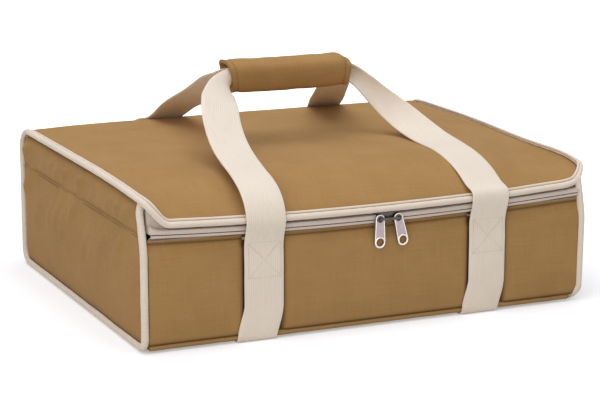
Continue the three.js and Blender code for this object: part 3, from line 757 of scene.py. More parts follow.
def folds(y, z, count, low, high, length, seed):
    """Sum of soft folds: each is a bell across its own leaning line, steep on one side, short along it.

    Multiples of the golden section spread the folds evenly without a pattern.
    """
    number = np.arange(count)[:, None, None]
    spread = (number * 0.618 + seed) % 1
    other = (number * 0.414 + 2.7 * seed) % 1
    third = (number * 0.732 + 5.3 * seed) % 1
    centre = front + (0.05 + 0.9 * spread) * (back - front)
    middle = low + third * (high - low)
    along = (z[None] - middle) / (length * (0.7 + 0.6 * other))
    across = (y[None] - centre + (0.5 + 0.5 * third) * (z[None] - middle)) / ((8 + 8 * other) * MM)
    bell = np.exp(-(across**2) - along**2) * (1 - 0.8 * np.tanh(1.6 * across))
    return np.sum((0.5 + third) * bell, axis=0)


def side_grid(sign, seed, slack):
    """A side wall on the right: rows from the front to the back, columns from the floor to the lid."""
    share = np.linspace(0, 1, 190)[:, None]
    low = np.linspace(0, 0.55, 30)
    climb = np.concatenate((low, np.linspace(0.55, 1, 56)[1:]))[None]
    y = front + WALL_INSET + share * (back - front - 2 * WALL_INSET) + 0 * climb
    bend = 6 * MM
    for _ in range(3):
        z = WALL_FLOOR + climb * (wall_top(y, sign) - WALL_FLOOR)
        foot = np.clip((z - WALL_FLOOR) / bend, 0, 1)
        corner = bend * (1 - np.sqrt(1 - (1 - foot) ** 2))
        near = front + WALL_INSET + corner + corner_lean(z, sign)
        far = back - WALL_INSET - corner
        y = near + share * (far - near)
    roof = wall_top(y, sign)
    above = ease(SEAM, SEAM + 5 * MM, z)
    swell = np.sin(np.pi * share) ** 0.6 * ease(WALL_FLOOR, WALL_FLOOR + 25 * MM, z)
    swell = swell * ease(SEAM, SEAM - 30 * MM, z)
    groove = 0.9 * MM * np.exp(-(((z - SEAM) / (1.4 * MM)) ** 2))
    gathers = 3.2 * MM * above * folds(y, z, 11, SEAM + 6 * MM, SEAM + 24 * MM, 13 * MM, seed)
    below = 3.0 * MM * (1 - above) * folds(y, z, 11, SEAM - 52 * MM, SEAM - 8 * MM, 20 * MM, seed + 0.3)
    wave = 0.5 * MM * ripple(y + 0.5 * z, 130 * MM, 9 * seed) * ripple(z, 70 * MM, 0.5)
    puff = 1.1 * MM * above * ease(roof, roof - 6 * MM, z)
    edge = np.minimum(np.minimum(y - near, far - y), roof - z)
    gathers = gathers * ease(1 * MM, 14 * MM, edge)
    below = below * ease(1 * MM, 14 * MM, edge)
    dive = 4.4 * MM * np.exp(-edge / (1.7 * MM))
    x = side + slack * (2.0 * MM * swell + gathers + below + wave + puff) - groove - dive
    if sign > 0:
        x = x + flare(sign, y) * ease(SEAM - 15 * MM, roof, z) * ease(front + 12 * MM, front + 50 * MM, y)
        x = x - foot_tuck(z) * ease(front + 60 * MM, front + 10 * MM, y)
    # Painted shade: darker towards the wall's edges and its foot, and in a thin line along the seam.
    low_edge = np.minimum(edge, z - WALL_FLOOR)
    line = 0.4 * np.exp(-np.abs(z - SEAM) / (0.8 * MM))
    return np.stack((x, y, z), axis=-1), np.maximum(np.exp(-low_edge / (2.2 * MM)), line)


def side_wall(name, sign, seed, slack, *nodes):
    """The right wall as it is, or its mirror with rows and columns exchanged to keep it facing out."""
    points, near = side_grid(sign, seed, slack)
    if sign < 0:
        points = np.swapaxes(points * MIRROR, 0, 1)
        near = near.T
    wall = dress(shell(name, points, 6.2 * MM), canvas, "canvas")
    # The wall's painted shade goes to its canvas.
    mark_painted_shade(wall, near)
    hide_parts(*nodes)
    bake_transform(wall)


side_wall("left_wall", -1, 0.13, 1.0, "left_side_panel", "left_gusset", "left_foam")
side_wall("right_wall", 1, 0.57, 0.4, "right_side_panel", "right_gusset", "right_foam")

# %% Floor of the bag


def floor_grid():
    """Flat floor that is pulled up a little along its edges."""
    y = np.linspace(front + 5 * MM, back - 5 * MM, 60)[:, None]
    x = np.linspace(-side + PANEL_INSET, side - PANEL_INSET, 70)[None]
    edge = np.minimum(side - np.abs(x), np.minimum(y - front, back - y))
    z = 2.35 * MM + 1.2 * MM * np.exp(-edge / (9 * MM))
    return np.stack(np.broadcast_arrays(x, y, z), axis=-1)


bag_floor = shell("bag_floor", floor_grid(), 6.0 * MM)
# The floor of the bag gets the darker copy of the canvas: painted shade.
dress(bag_floor, underside_shaded_canvas, "canvas", "base", "bottom_panel", "bottom_foam")

# %% [markdown]
# ## Lining
# The inside is a silver film that is laminated to the foam. Each wall has its own sheet, slightly
# creased, and the lid's sheet follows the lid's curve and its rounded corners.

# %% Lining sheets


def lining_wall(name, sideways, sign):
    """One upright sheet on the inner face of its node, with its top cut to the lid's line at the sides."""
    low, high = corners_of(name)
    along = np.linspace(0, 1, 60)[:, None]
    climb = np.linspace(0, 1, 34)[None]
    if sideways:
        y = low[1] + along * (high[1] - low[1]) + 0 * climb
        roof = np.minimum(wall_top(y, sign) - 4.2 * MM, high[2])
        z = low[2] + climb * (roof - low[2])
        y = y + corner_lean(z, sign) * (1 - along) + 1.5 * MM * (1 - along)
        x = (low[0] if sign > 0 else high[0]) + sign * 0.3 * MM * ripple(y + z, 50 * MM, 1.0)
    else:
        x = low[0] + along * (high[0] - low[0]) + 0 * climb
        z = low[2] + climb * (high[2] - low[2]) + 0 * x
        y = (low[1] if sign > 0 else high[1]) + sign * 0.3 * MM * ripple(x + z, 55 * MM, 1.7)
    points = np.stack((x, y, z), axis=-1)
    if (sideways and sign > 0) or (not sideways and sign < 0):
        points = np.swapaxes(points, 0, 1)
    dress(shell(name + "_sheet", points, THIN_CLOTH), silver, "lining", "base", name)


lining_wall("left_lining", True, -1)
lining_wall("right_lining", True, 1)
lining_wall("front_lining", False, -1)
lining_wall("back_lining", False, 1)


def floor_lining():
    """The sheet on the floor, with faint waves."""
    low, high = corners_of("bottom_lining")
    x = np.linspace(low[0], high[0], 70)[:, None]
    y = np.linspace(low[1], high[1], 60)[None]
    z = high[2] + 0.25 * MM * ripple(x + 0.3 * y, 80 * MM, 0.3) * ripple(y, 90 * MM, 1.3)
    return np.stack(np.broadcast_arrays(x, y, z), axis=-1)


bottom_sheet = shell("bottom_lining_sheet", floor_lining(), THIN_CLOTH)
dress(bottom_sheet, silver, "lining", "base", "bottom_lining")


def lid_lining_grid():
    """The lid's line lowered by 8 mm, inside the lid's rounded outline, seen from below."""
    inset = 8 * MM
    nose = front - OVERHANG + inset
    radius = corner_size(1) - inset
    curve = nose + radius * (1 - np.cos(np.linspace(0, np.pi / 2, 14)))
    y = np.concatenate((curve, np.linspace(curve[-1], back - ROLL, 50)[1:]))[:, None]
    share = np.linspace(-1, 1, 70)[None]
    x = share * lid_half(share, y, inset)
    z = lid_height(x, y) - 8 * MM + 0.4 * MM * ripple(x + 0.2 * y, 75 * MM, 0.2) * ripple(y, 85 * MM, 1.9)
    return np.stack(np.broadcast_arrays(x, y, z), axis=-1)


lid_sheet = shell("lid_lining_sheet", lid_lining_grid(), THIN_CLOTH)
dress(lid_sheet, silver, "lining", "lid", "lid_lining")
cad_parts["base_board"].data.materials.clear()
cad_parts["base_board"].data.materials.append(board)

# %% [markdown]
# ## Piping
# Piping is a cord inside a folded strip of cloth that is caught in a seam. It is a ring carried
# along the seam's line, a little uneven, because cloth round a cord is never quite round.

# %% Side piping


def roll_point(turn):
    """Points of the piping round the roll at the back, where turn is 0 on top and a quarter turn behind."""
    size = ROLL - PIPING_INSET
    return np.stack((back - ROLL + size * np.sin(turn), top - ROLL + size * np.cos(turn)), axis=1)


def fold_turn():
    """Turn at which that curve passes the height of the lid's fold."""
    return np.arccos((FOLD - top + ROLL) / (ROLL - PIPING_INSET))


def side_piping_path(sign):
    """Down the back, along the floor and up the front corner, which leans back, to the lid's piping."""
    y_front = front + PIPING_INSET
    y_back = back - PIPING_INSET
    floor = 4.3 * MM
    outline = rounded_line(
        [(y_back, top - ROLL), (y_back, floor), (y_front, floor), (y_front, 80 * MM)], (14 * MM, 10 * MM)
    )
    turn = np.linspace(fold_turn(), np.pi / 2, 8)[:-1]
    outline = np.concatenate((roll_point(turn), outline))
    rise = np.linspace(80 * MM, (135.5 if sign < 0 else 121) * MM, 50)[1:]
    corner = np.stack((y_front + corner_lean(rise, sign), rise), axis=1)
    y, z = np.concatenate((outline, corner)).T
    x = np.full(len(y), side - PIPING_INSET)
    if sign > 0:
        x = x - foot_tuck(z) * ease(front + 60 * MM, front + 10 * MM, y)
        x = x - 5 * MM * np.clip(z / (60 * MM) - 1, 0, 1) ** 1.5 * (y < 0)
    else:
        x = x - 3.5 * MM * ease(124 * MM, 137 * MM, z) * (y < 0)
    return evenly(np.stack((sign * x, y, z), axis=1), 2 * MM)


def piping(name, path, outward, body, *nodes, radius=PIPING, seed=0.0):
    """A slightly uneven tube of the piping's radius along a path."""
    run = lengths(path, 0)
    uneven = radius * (1 + 0.03 * ripple(run, 31 * MM, seed) + 0.015 * ripple(run, 9 * MM, seed + 1))
    dress(rings(name, tube_grid(path, outward, uneven)), piping_cloth, "piping", body, *nodes)


for hand, sign, seed in (("right", 1, 0.4), ("left", -1, 1.9)):
    side_run = side_piping_path(sign)[::sign]
    side_out = same_way((sign, 0, 0), len(side_run))
    piping(hand + "_piping", side_run, side_out, "base", hand + "_side_piping", seed=seed)

# %% Lid piping


def lid_piping_half(sign):
    """One half of the lid's piping with its way out: up the roll, along the side and round the corner."""
    wide = side - PIPING_INSET
    turn = np.linspace(fold_turn(), 0, 14)
    roll_y, roll_z = roll_point(turn).T
    nose = front - OVERHANG
    radius = corner_size(sign)
    straight = np.linspace(back - ROLL, nose + radius, 90)[1:]
    angle = np.linspace(0, np.pi / 2, 30)[1:]
    corner_x = wide - radius + radius * np.cos(angle)
    corner_y = nose + radius - radius * np.sin(angle)
    across = np.linspace(corner_x[-1], 0, 80)[1:]
    x = np.concatenate((np.full(len(straight), wide), corner_x, across))
    y = np.concatenate((straight, corner_y, np.full(len(across), nose)))
    x = sign * (x + flare(sign, y) * np.clip((x - wide + radius) / radius, 0, 1))
    z = np.concatenate((roll_z, lid_height(x, y) - PIPING_INSET))
    heading = np.concatenate((np.zeros(len(turn) + len(straight)), angle, np.full(len(across), np.pi / 2)))
    x = np.concatenate((np.full(len(turn), sign * wide), x))
    y = np.concatenate((roll_y, y))
    return evenly(np.stack((x, y, z, sign * np.cos(heading), -np.sin(heading)), axis=1), 1.3 * MM)


lid_run = np.concatenate((lid_piping_half(-1), lid_piping_half(1)[::-1][1:]))
lid_path = lid_run[:, :3]
lid_out = np.stack((lid_run[:, 3], lid_run[:, 4], np.zeros(len(lid_run))), axis=1)
lid_up = unit(np.cross(lid_out, np.gradient(lid_path, axis=0)))
ahead = -lid_run[:, 4:]
from_ends = np.minimum(lengths(lid_path, 0), lengths(lid_path, 0)[-1] - lengths(lid_path, 0))
cord_path = lid_path + 0.4 * MM * lid_out - 0.7 * MM * lid_up
flange_up = (2.0 + 1.1 * ahead) * ease(10 * MM, 45 * MM, from_ends)[:, None]
flange_path = lid_path - 1.8 * MM * lid_out + flange_up * MM * lid_up
piping("lid_edge_piping", cord_path, lid_out, "lid", "lid_piping", radius=2.9 * MM, seed=2.7)
piping("lid_edge_flange", flange_path, lid_out, "lid", radius=1.2 * MM, seed=1.2)

# %% Hem cords


def hem_cord(name, node):
    """A thin canvas-covered cord along a bottom edge."""
    low, high = corners_of(node)
    middle = (low + high) / 2
    x = np.linspace(low[0], high[0] - (9 * MM if middle[1] < 0 else 0), 150)
    path = np.stack((x, np.full(150, middle[1]), middle[2] + 0.15 * MM * ripple(x, 40 * MM, 0.8)), axis=1)
    cord = tube_grid(path, same_way((0, 0, 1), len(path)), 2.6 * MM, 14)
    dress(rings(name, cord), canvas, "canvas", "base", node)


hem_cord("front_hem", "front_hem_cord")
hem_cord("back_hem", "back_hem_cord")

# %% [markdown]
# ## Zip
# The lower tape is sewn behind the front panel and the upper one hangs from the lid's piping. Each
# carries a row of moulded coil, which is one small tooth repeated. Two sliders meet near the middle.

# %% Tapes and teeth
zip_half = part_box("lower_zip_tape")[1].x


def zip_height(x):
    """Height of the line where the tapes meet."""
    return zip_line - 1.7 * MM + 1.25 * smile(x)


def lower_tape_grid():
    """From inside the front panel up to the zip line, where it stands forward."""
    x = np.linspace(-zip_half, zip_half, 120)[:, None]
    drop = np.linspace(14 * MM, 0.45 * MM, 30)[None]
    y = front - 0.8 * MM + 5.6 * MM * ease(2.4 * MM, 4.6 * MM, drop) + 0.15 * MM * ripple(x, 60 * MM, 0.6)
    z = zip_height(x) - drop
    return np.stack(np.broadcast_arrays(x, y, z), axis=-1)


def upper_tape_grid():
    """From the zip line up behind the lid's piping. Its left end turns straight back into the corner."""
    reach = 216 * MM
    turned = np.linspace(14 * MM, 0, 12, endpoint=False)
    run = np.concatenate((-reach - turned, np.linspace(-reach, reach, 180)))[:, None]
    x = np.maximum(run, -reach)
    climb = np.linspace(0, 1, 30)[None]
    radius = corner_size(x)
    round_x = np.maximum(np.abs(x) - (side - PIPING_INSET - radius), 0)
    nose = front - OVERHANG + radius - np.sqrt(radius**2 - round_x**2)
    low = zip_height(x) + 0.45 * MM
    high = lid_height(x, nose) - PIPING_INSET - 1.5 * MM
    z = low + climb * (high - low)
    y = front - 1.4 * MM + 6 * MM * ease(3.5 * MM, 4.6 * MM, z - low) * ease(0.2, 0.4, climb)
    y = y + 0.6 * (nose - front + OVERHANG) * ease(0, 1, climb) + 0.15 * MM * ripple(x, 55 * MM, 1.6)
    y = y + x - run
    return np.stack(np.broadcast_arrays(x, y, z), axis=-1)


lower_tape = shell("lower_tape", lower_tape_grid(), THIN_CLOTH)
dress(lower_tape, tape_cloth, "zip_tape", "base", "lower_zip_tape")
upper_tape = shell("upper_tape", upper_tape_grid(), THIN_CLOTH)
dress(upper_tape, tape_cloth, "zip_tape", "lid", "upper_zip_tape")


def zip_teeth(name, node, body):
    """A row of teeth: one bead that lies across the row, repeated every 1.5 mm."""
    low, high = corners_of(node)
    x = np.arange(low[0] + 0.8 * MM, high[0], 1.5 * MM)
    middle = (low + high) / 2
    centres = np.stack((x, np.full(len(x), middle[1]), np.full(len(x), middle[2])), axis=1)
    shape, faces = thread_shape(high[2] - low[2], 1.0)
    shape = shape * np.array((1, 1.15 * MM, high[1] - low[1]))
    along = same_way((0, 0, 1), len(x))
    up = same_way((0, -1, 0), len(x))
    dress(repeat(name, shape, faces, centres, along, up), coil_thread, "zip_coil", body, node)


zip_teeth("lower_teeth", "lower_zip_coil", "base")
zip_teeth("upper_teeth", "upper_zip_coil", "lid")

# %% Sliders and pulls


def rounded_copy(node, body, width, metal):
    """A copy of a metal node with its doubles merged and its edges rounded by a bevel."""
    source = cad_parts[node]
    piece = bpy.data.objects.new(node + "_metal", source.data.copy())
    scene.collection.objects.link(piece)
    piece.data.materials.clear()
    bpy.context.view_layer.objects.active = piece
    weld = piece.modifiers.new("weld", "WELD")
    weld.merge_threshold = 0.01 * MM
    flatten = piece.modifiers.new("flatten", "DECIMATE")
    flatten.decimate_type = "DISSOLVE"
    flatten.angle_limit = np.radians(2)
    bevel = piece.modifiers.new("bevel", "BEVEL")
    bevel.width = width
    bevel.segments = 3
    bevel.limit_method = "ANGLE"
    bevel.angle_limit = np.radians(40)
    dress(piece, metal, "zip_metal", body, node)


def trim_loop(name, line, centre, lean, face, thick, metal, body):
    """A thin rim on the front of a pull: a closed line in the pull's plane, turned by its lean."""
    turned_x = line[:, 0] * np.cos(lean) - line[:, 1] * np.sin(lean)
    turned_z = line[:, 0] * np.sin(lean) + line[:, 1] * np.cos(lean)
    path = np.stack((centre[0] + turned_x, np.full(len(line), face), centre[1] + turned_z), axis=1)
    rim = tube_grid(path, same_way((0, -1, 0), len(path)), np.full(len(path), thick), 10)
    dress(rings(name, rim), metal, "zip_metal", body)


def pull_trim(hand, lean):
    """Rim, ring round the hole and eye of one pull, whose hinge is 4.2 mm below its upper end. The rim and
    ring carry painted highlight and the eye painted shade of the hole.
    """
    low, high = corners_of(hand + "_pull")
    hinge_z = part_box("left_pull")[1].z - 4.2 * MM
    hinge_x = low[0] + 5.6 * MM if lean == 0 else high[0] - 5.6 * MM - 21.2 * MM * np.sin(lean)
    corners = [(0, 3.7), (-3.7, 3.7), (-5.0, -26.3), (5.0, -26.3), (3.7, 3.7), (0, 3.7)]
    rim = rounded_line([(x * MM, z * MM) for x, z in corners], tuple(r * MM for r in (3.3, 4.7, 4.7, 3.3)))
    turn = np.linspace(0, 2 * np.pi, 41)[:, None]
    circle = np.concatenate((np.cos(turn), np.sin(turn)), axis=1)
    ring = 4.4 * MM * circle + np.array((0, -21.3 * MM))
    eye = 2.3 * MM * circle
    body = hand + "_pull"
    centre = (hinge_x, hinge_z)
    print(hand, "pull hangs at", np.round(np.array(centre) * 1000, 2))
    trim_loop(hand + "_pull_rim", rim, centre, lean, low[1], 0.55 * MM, rim_highlight_nickel, body)
    trim_loop(hand + "_pull_ring", ring, centre, lean, low[1], 0.75 * MM, rim_highlight_nickel, body)
    trim_loop(hand + "_pull_eye", eye, centre, lean, low[1] - 0.3 * MM, 0.8 * MM, shaded_nickel, body)


# Sliders in the darker nickel, which is painted shade; pulls in the plain nickel.
for hand in ("left", "right"):
    rounded_copy(hand + "_slider", hand + "_slider", 0.4 * MM, shaded_nickel)
    rounded_copy(hand + "_pull", hand + "_pull", 0.45 * MM, nickel)
pull_trim("left", 0)
pull_trim("right", np.radians(13))

# %% [markdown]
# ## Webbing
# Each loop is one length of webbing. It comes up the back, goes under the floor and up the front,
# where it is sewn down, and leaves the bag below the zip. There it turns over the lid's edge and
# rises to the grip. On the way it turns from flat to upright and curls into half a ring.

# %% Webbing surfaces
BAND = 2 * MM
GRIP_Z = 209.5 * MM
GRIP_Y = (front + back) / 2
CURL = 10.8 * MM


def band_profile(half_width, half_thick, steps=14):
    """Flat band with round edges, as a closed ring: outer face, edge, inner face, edge."""
    flat = np.linspace(half_width - half_thick, -half_width + half_thick, steps)
    edge = np.linspace(0, np.pi, 5)[1:-1]
    across = np.concatenate((flat, -half_width + half_thick - half_thick * np.sin(edge), flat[::-1]))
    across = np.concatenate((across, half_width - half_thick + half_thick * np.sin(edge)))
    out = np.concatenate((np.full(steps, half_thick), half_thick * np.cos(edge), np.full(steps, -half_thick)))
    out = np.concatenate((out, -half_thick * np.cos(edge)))
    return across, out


def band_grid(path, turn, curl, width):
    """The band's ring at each point: its width turns from X to Z, and it bends on a radius of 1 / curl.

    Where the band is gathered, only a share of its width is left.
    """
    along = unit(np.gradient(path, axis=0))
    way = np.stack((np.cos(turn), 0 * turn, -np.sin(turn)), axis=1)
    way = unit(way - along * np.sum(way * along, axis=1, keepdims=True))
    out = np.cross(way, along)
    across, lift = band_profile(STRAP_HALF, BAND / 2)
    bend = np.where(np.abs(curl) < 0.5, 0.5, curl)
    radius = (1 / bend)[:, None]
    angle = across[None] * width[:, None] / radius
    sideways = (radius + lift[None]) * np.sin(angle)
    outwards = (radius + lift[None]) * np.cos(angle) - radius
    return path[:, None] + sideways[..., None] * way[:, None] + outwards[..., None] * out[:, None]


def band_uv(grid):
    """Across the band from its middle, and along it."""
    across, _ = band_profile(STRAP_HALF, BAND / 2)
    run = lengths(grid, 0).mean(axis=1)
    return np.stack(np.broadcast_arrays(across[None], run[:, None]), axis=-1)


def free_leg(keys):
    """Keys are x, y, z, turn in degrees, share of the curl and share of the width; the path is splined."""
    keys = np.array(keys, float)
    scaled = keys * np.array((MM, MM, MM, np.pi / 180, 1 / CURL, 1))
    run = np.concatenate(([0], np.cumsum(np.linalg.norm(np.diff(scaled[:, :3], axis=0), axis=1))))
    path = spline(scaled[:, :3], 2.5 * MM)
    place = lengths(path, 0) * run[-1] / lengths(path, 0)[-1]
    return path, *(np.interp(place, run, column) for column in scaled[:, 3:].T)


def half_loop(sewn, keys):
    """One half of a loop from its sewn run into the grip, on the side where x is negative."""
    path, turn, curl, width = free_leg(keys)
    flat = np.zeros(len(sewn))
    path = np.concatenate((sewn, path))
    turn = np.concatenate((flat, turn))
    curl = np.concatenate((flat, curl))
    return band_grid(path, turn, curl, np.concatenate((flat + 1, width)))


front_mm = front / MM
back_mm = back / MM
sewn_corners = [
    (back + 1.3 * MM, 52 * MM),
    (back + 1.3 * MM, 1 * MM),
    (front - 1.3 * MM, 1 * MM),
    (front - 1.3 * MM, 58 * MM),
]
sewn_line = evenly(rounded_line(sewn_corners, (4 * MM, 4 * MM)), 2 * MM)


def front_half(side_sign, strap, *free):
    """Half of the front loop: the sewn run of a strap, its way over the lid's edge, then its free keys."""
    y, z = sewn_line.T
    drawn = 7 * MM * ease(34 * MM, 0, z) * ease(front + 60 * MM, front + 5 * MM, y)
    sewn = np.column_stack((strap * MM - drawn * side_sign, y, z))
    keys = [
        (strap, front_mm - 1.3, 60, 0, 0, 1),
        (strap, front_mm - 1.3, 76, 0, 0, 1),
        (strap, front_mm - 1.3, 90, 0, 0, 1),
        (strap, front_mm - 4.6, 101, 0, 0, 1),
        (strap, front_mm - 7.0, 110, 0, 0, 1),
        (strap, front_mm - 5.6, 117.5, 0, 0, 1),
    ]
    return half_loop(sewn, keys + list(free))


left_front = front_half(
    1,
    strap_left / MM,
    (-109, -178.3, 127, 0, 0, 1),
    (-109, -165, 138, 1, 0, 1),
    (-108.3, -140, 147, 4, 0, 1),
    (-107, -108, 156.5, 3, 0, 1),
    (-103.5, -78, 168.5, 5, 0, 1),
    (-98, -52, 183.5, 8, 0, 1),
    (-91.5, -35, 194, 14, 0, 1),
    (-84, -22, 203, 30, 0.1, 0.8),
    (-76, -12, 209, 58, 0.5, 0.5),
    (-67, -7, 211, 88, 1.2, 0.42),
    (-40, -7, 210, 90, 1.4, 0.6),
    (-15, -7, 210, 90, 1.4, 0.6),
)
right_front = front_half(
    -1,
    -strap_right / MM,
    (-117, -175, 121, 0, 0, 1),
    (-117, -160, 128.5, 0, 0, 1),
    (-117, -138, 137.5, 0, 0, 1),
    (-117.5, -102, 144.3, 1, 0, 1),
    (-118, -62, 147.5, 8, 0, 0.96),
    (-112, -29, 157, 20, -0.05, 0.86),
    (-100, -12, 170, 36, -0.15, 0.74),
    (-87, -3, 183.5, 52, -0.4, 0.62),
    (-72, 2, 198.5, 72, -1.0, 0.55),
    (-60, 6, 207, 88, -1.3, 0.56),
    (-40, 7, 209, 90, -1.2, 0.7),
    (-15, 7, 209, 90, -1.2, 0.7),
)


def two_bands(name, first, second):
    """Two closed bands as one piece: the second is given on the left and is mirrored to the right."""
    second = second[::-1] * MIRROR
    columns = first.shape[1]
    ring = np.arange(columns)
    faces = []
    for start, rows in ((0, len(first)), (len(first) * columns, len(second))):
        faces += quads(rows, columns, True, start).tolist()
        faces.append((start + ring).tolist())
        faces.append((start + (rows - 1) * columns + ring[::-1]).tolist())
    points = np.concatenate((first, second))
    uv = np.concatenate((band_uv(first), band_uv(second)))
    return make_piece(name, points, faces, uv)


front_webbing = dress(two_bands("front_webbing", left_front, right_front), webbing, "webbing")
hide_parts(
    "left_sewn_strap", "right_sewn_strap", "front_left_leg", "front_right_leg", "front_grip"
)
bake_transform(front_webbing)


def back_half(strap, edge, *free):
    """Half of the back loop, mirrored in Y; the strap crosses the lid's back edge at its own place."""
    keys = [
        (strap, -back_mm - 1.3, 52.5, 0, 0, 1),
        (strap, -back_mm - 1.3, 74, 0, 0, 1),
        (strap, -back_mm - 1.3, 90, 0, 0, 1),
        (strap + 0.2 * (edge - strap), -back_mm - 1.6, 106, 0, 0, 1),
    ]
    for turn, share in ((80, 0.5), (52, 0.8), (26, 1)):
        away = (ROLL / MM + 1.6) * np.array((np.sin(np.radians(turn)), np.cos(np.radians(turn))))
        y = -(back_mm - ROLL / MM + away[0])
        keys.append((strap + share * (edge - strap), y, (top - ROLL) / MM + away[1], 0, 0, 1))
    band = (
        (-40, -13, 210, 90, 1, 1),
        (0, -13, 210, 90, 1, 1),
    )
    return band_grid(*free_leg(keys + list(free) + list(band)))


left_back = back_half(
    strap_left / MM,
    -75,
    (-71, -130, 162, 7, 0, 1),
    (-68, -89, 178, 21, 0, 0.85),
    (-67.8, -48, 194, 37, 0, 0.77),
    (-67, -22, 203, 55, 0.3, 0.65),
    (-58, -13, 207, 85, 1, 0.8),
)
right_back = back_half(
    -strap_right / MM,
    -110.5,
    (-96.6, -130, 159, 0, 0, 1),
    (-82.4, -89, 176, 2, 0, 0.95),
    (-68.2, -48, 192.5, 10, 0, 0.9),
    (-58, -22, 202, 45, 0.3, 0.7),
    (-48, -13, 207, 85, 1, 0.8),
)
mirrored_back = np.concatenate((left_back, right_back[::-1][1:] * MIRROR))
back_uv = band_uv(mirrored_back)
back_webbing = rings("back_webbing", mirrored_back[:, ::-1] * np.array((1, -1, 1)), back_uv[:, ::-1])
dress(back_webbing, webbing, "webbing")
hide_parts("back_left_leg", "back_right_leg", "back_grip")
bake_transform(back_webbing)

# %% [markdown]
# ## Handle wrap
# A padded piece of canvas is folded round both straps and closed behind them. Its section is a
# soft upright oval. It is flatter below, and its lower front edge shows the hem of the flap.

# %% Handle wrap
WRAP_HALF = 62.5 * MM
WRAP_SHIFT = -6.5 * MM


def wrap_grid():
    """Rings of a soft oval: a power of sine and cosine, with a hem step below and pinched ends."""
    x = np.linspace(-WRAP_HALF, WRAP_HALF, 90)[:, None]
    angle = np.linspace(0, 2 * np.pi, 72, endpoint=False)[None]
    power = 2 / 2.5
    deep = -np.sign(np.cos(angle)) * np.abs(np.cos(angle)) ** power
    tall = np.sign(np.sin(angle)) * np.abs(np.sin(angle)) ** power
    end_gap = WRAP_HALF - np.abs(x)
    pinch = 0.9 * MM * np.exp(-(((end_gap - 5 * MM) / (2.2 * MM)) ** 2))
    flap = 0.9 * MM * ease(np.radians(-52), np.radians(-46), (angle + np.pi) % (2 * np.pi) - np.pi)
    flap = flap * (((angle + np.pi) % (2 * np.pi) - np.pi) < np.radians(150))
    crease = 0.35 * MM * ripple(x + 9 * MM * angle, 37 * MM, 1.2)
    size_y = 14.2 * MM - pinch + flap + crease - 0.9 * MM
    size_z = 16.8 * MM - pinch + flap + crease - 0.9 * MM
    y = GRIP_Y + size_y * deep * (1 + 0.34 * tall)
    z = GRIP_Z + size_z * tall - 0.8 * MM * np.cos(np.pi * x / (2 * WRAP_HALF))
    shoulder = 5 * MM * ease(WRAP_HALF - 12 * MM, WRAP_HALF, x) ** 2
    z = z - shoulder * ease(0, 1, tall)
    slant = 4 * MM * tall * ease(0, -WRAP_HALF, x)
    return np.stack(np.broadcast_arrays(x - slant + WRAP_SHIFT, y, z), axis=-1)


wrap_points = wrap_grid()
handle = shell("handle_cover", wrap_points, 3.2 * MM, wrap=True)
dress(handle, canvas, "canvas", "front_loop", "handle_wrap", "handle_foam", "hook_strip", "loop_strip")

# %% [markdown]
# ## Stitching
# Thread is what tells the eye that this is cloth. Each row follows the surface that it is sewn to:
# the hem under the zip, the seam of the side walls, the boxes with crosses on the straps, and the
# ends of the handle wrap.

# %% Rows of stitches


def sew(name, path, up, thread, slot_name, body, **sizes):
    """A row of stitches that moves with one body."""
    dress(stitches(name, path, same_way(up, len(path)), **sizes), thread, slot_name, body)


hem_x = np.linspace(-side + 6 * MM, side - 6 * MM, 300)
row_share = 0.979
at_row = np.argmin(np.abs((front_points[0, :, 2] - hem_top) / (front_points[0, -1, 2] - hem_top) - row_share))
hem_y = np.interp(hem_x, front_points[:, at_row, 0], front_points[:, at_row, 1])
hem_z = np.interp(hem_x, front_points[:, at_row, 0], front_points[:, at_row, 2])
hem_path = np.stack((hem_x, hem_y - 0.1 * MM, hem_z), axis=1)
sew("hem_stitches", hem_path, (0, -1, 0), tan_thread, "canvas", "base")


def box_stitch(name, centre_x, sign, body):
    """A rectangle with a cross, sewn through the strap, as one row of stitches after another."""
    y = (front if sign < 0 else back) + sign * 2.35 * MM
    across = centre_x + 15.5 * MM * np.array((-1, 1, 1, -1, -1, 1, -1, 1))
    height = 75 * MM + 16 * MM * np.array((-1, -1, 1, 1, -1, 1, 1, -1))
    path = evenly(np.column_stack((across, np.full(len(across), y), height)), 0.5 * MM)
    thread = {"pitch": 3.2 * MM, "length": 2.5 * MM, "thickness": 0.7 * MM}
    sew(name, path, (0, sign, 0), cream_thread, "webbing", body, **thread)


for hand, centre in (("left", strap_left), ("right", strap_right)):
    box_stitch(hand + "_front_box", centre, -1, "base")
    box_stitch(hand + "_back_box", centre, 1, "base")


def seam_row(name, sign, drop):
    """A row along the side wall's seam, a given distance below it."""
    y = np.linspace(front + 13 * MM, back - 6 * MM, 260)
    z = np.full(260, SEAM - drop)
    x = np.full(260, sign * (side + 0.25 * MM))
    sew(name, np.stack((x, y, z), axis=1), (sign, 0, 0), tan_thread, "canvas", "base")


for hand, sign in (("left", -1), ("right", 1)):
    seam_row(hand + "_seam_stitches", sign, 3 * MM)


def wrap_row(name, column):
    """A row round the wrap near one of its ends."""
    ring = wrap_points[column]
    path = np.concatenate((ring, ring[:1]))
    middle = ring.mean(axis=0)
    up = unit(path - middle)
    dress(stitches(name, path + up * 0.1 * MM, up), tan_thread, "canvas", "front_loop")


wrap_row("left_wrap_stitches", 4)
wrap_row("right_wrap_stitches", 85)

# %% [markdown]
# ## Floor and light
# A white floor, a wide lamp above and a weaker one in front make plain studio light. The floor and
# the world look white to the camera, while the light that they give the bag stays plain.

# %% Floor


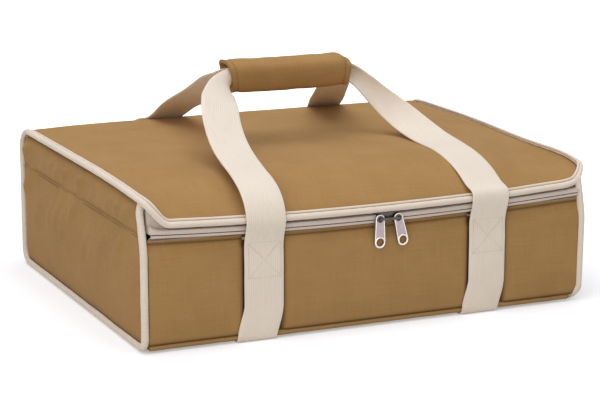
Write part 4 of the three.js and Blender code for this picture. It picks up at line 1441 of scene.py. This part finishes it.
def floor_finish():
    """White floor that keeps its shadow: grey light from the lamps, raised to white for the camera."""
    finish = Finish("white_floor")
    finish.set(Base_Color=(0.8, 0.8, 0.8, 1), Roughness=0.9, Specular_IOR_Level=0.0)
    paths = finish.add("ShaderNodeLightPath")
    node = paths.socket.node
    seen = Strand(finish, node.outputs["Is Camera Ray"]).most(Strand(finish, node.outputs["Is Glossy Ray"]))
    seen = seen.most(Strand(finish, node.outputs["Is Transmission Ray"]))
    place = finish.add("ShaderNodeTexCoord", output="Object")
    far = finish.add("ShaderNodeVectorMath", {"operation": "LENGTH"}, {0: place}, "Value")
    strength = seen * (0.38 + 0.62 * far.step(0.35, 0.8))
    glow = finish.add("ShaderNodeEmission", None, {"Color": (1, 1, 1, 1), "Strength": strength})
    both = finish.add("ShaderNodeAddShader")
    finish.tree.links.new(finish.surface.outputs[0], both.socket.node.inputs[0])
    finish.tree.links.new(glow.socket, both.socket.node.inputs[1])
    finish.tree.links.new(both.socket, finish.tree.nodes["Material Output"].inputs["Surface"])
    return finish.material


def ground_grid():
    """A level square of 8 m."""
    reach = np.linspace(-4, 4, 9)
    x, y = np.meshgrid(reach, reach, indexing="ij")
    return np.stack((x, y, 0 * x), axis=-1)


ground_points = ground_grid()
ground = make_piece("ground", ground_points, quads(9, 9).tolist())
ground.data.materials.append(floor_finish())

# %% Lamps and world


def soft_lamp(name, place, aim, size, power, colour=(1, 1, 1)):
    """A square lamp at a place, turned towards a point."""
    lamp = bpy.data.lights.new(name, "AREA")
    lamp.color = colour
    lamp.size = size
    lamp.energy = power
    holder = bpy.data.objects.new(name, lamp)
    scene.collection.objects.link(holder)
    holder.location = place
    away = unit(np.array(place, float) - np.array(aim, float))
    tilt = np.arccos(away[2])
    heading = np.arctan2(away[1], away[0]) + np.pi / 2
    holder.rotation_euler = (tilt, 0, heading)
    return holder


soft_lamp("top_lamp", (-0.1, -0.2, 1.9), (0, 0, 0.1), 1.8, 22, (0.95, 1.0, 1.13))
soft_lamp("front_lamp", (-1.8, -1.8, 1.1), (0, 0, 0.1), 1.6, 16)

world = bpy.data.worlds.new("studio")
world.use_nodes = True
scene.world = world
sky = world.node_tree.nodes["Background"]
sky.inputs["Color"].default_value = (1, 1, 1, 1)
rays = world.node_tree.nodes.new("ShaderNodeLightPath")
shown = world.node_tree.nodes.new("ShaderNodeMath")
shown.operation = "MAXIMUM"
world.node_tree.links.new(rays.outputs["Is Camera Ray"], shown.inputs[0])
world.node_tree.links.new(rays.outputs["Is Glossy Ray"], shown.inputs[1])
strength = world.node_tree.nodes.new("ShaderNodeMapRange")
strength.inputs["To Min"].default_value = 0.42
strength.inputs["To Max"].default_value = 1.0
world.node_tree.links.new(shown.outputs[0], strength.inputs["Value"])
world.node_tree.links.new(strength.outputs[0], sky.inputs["Strength"])
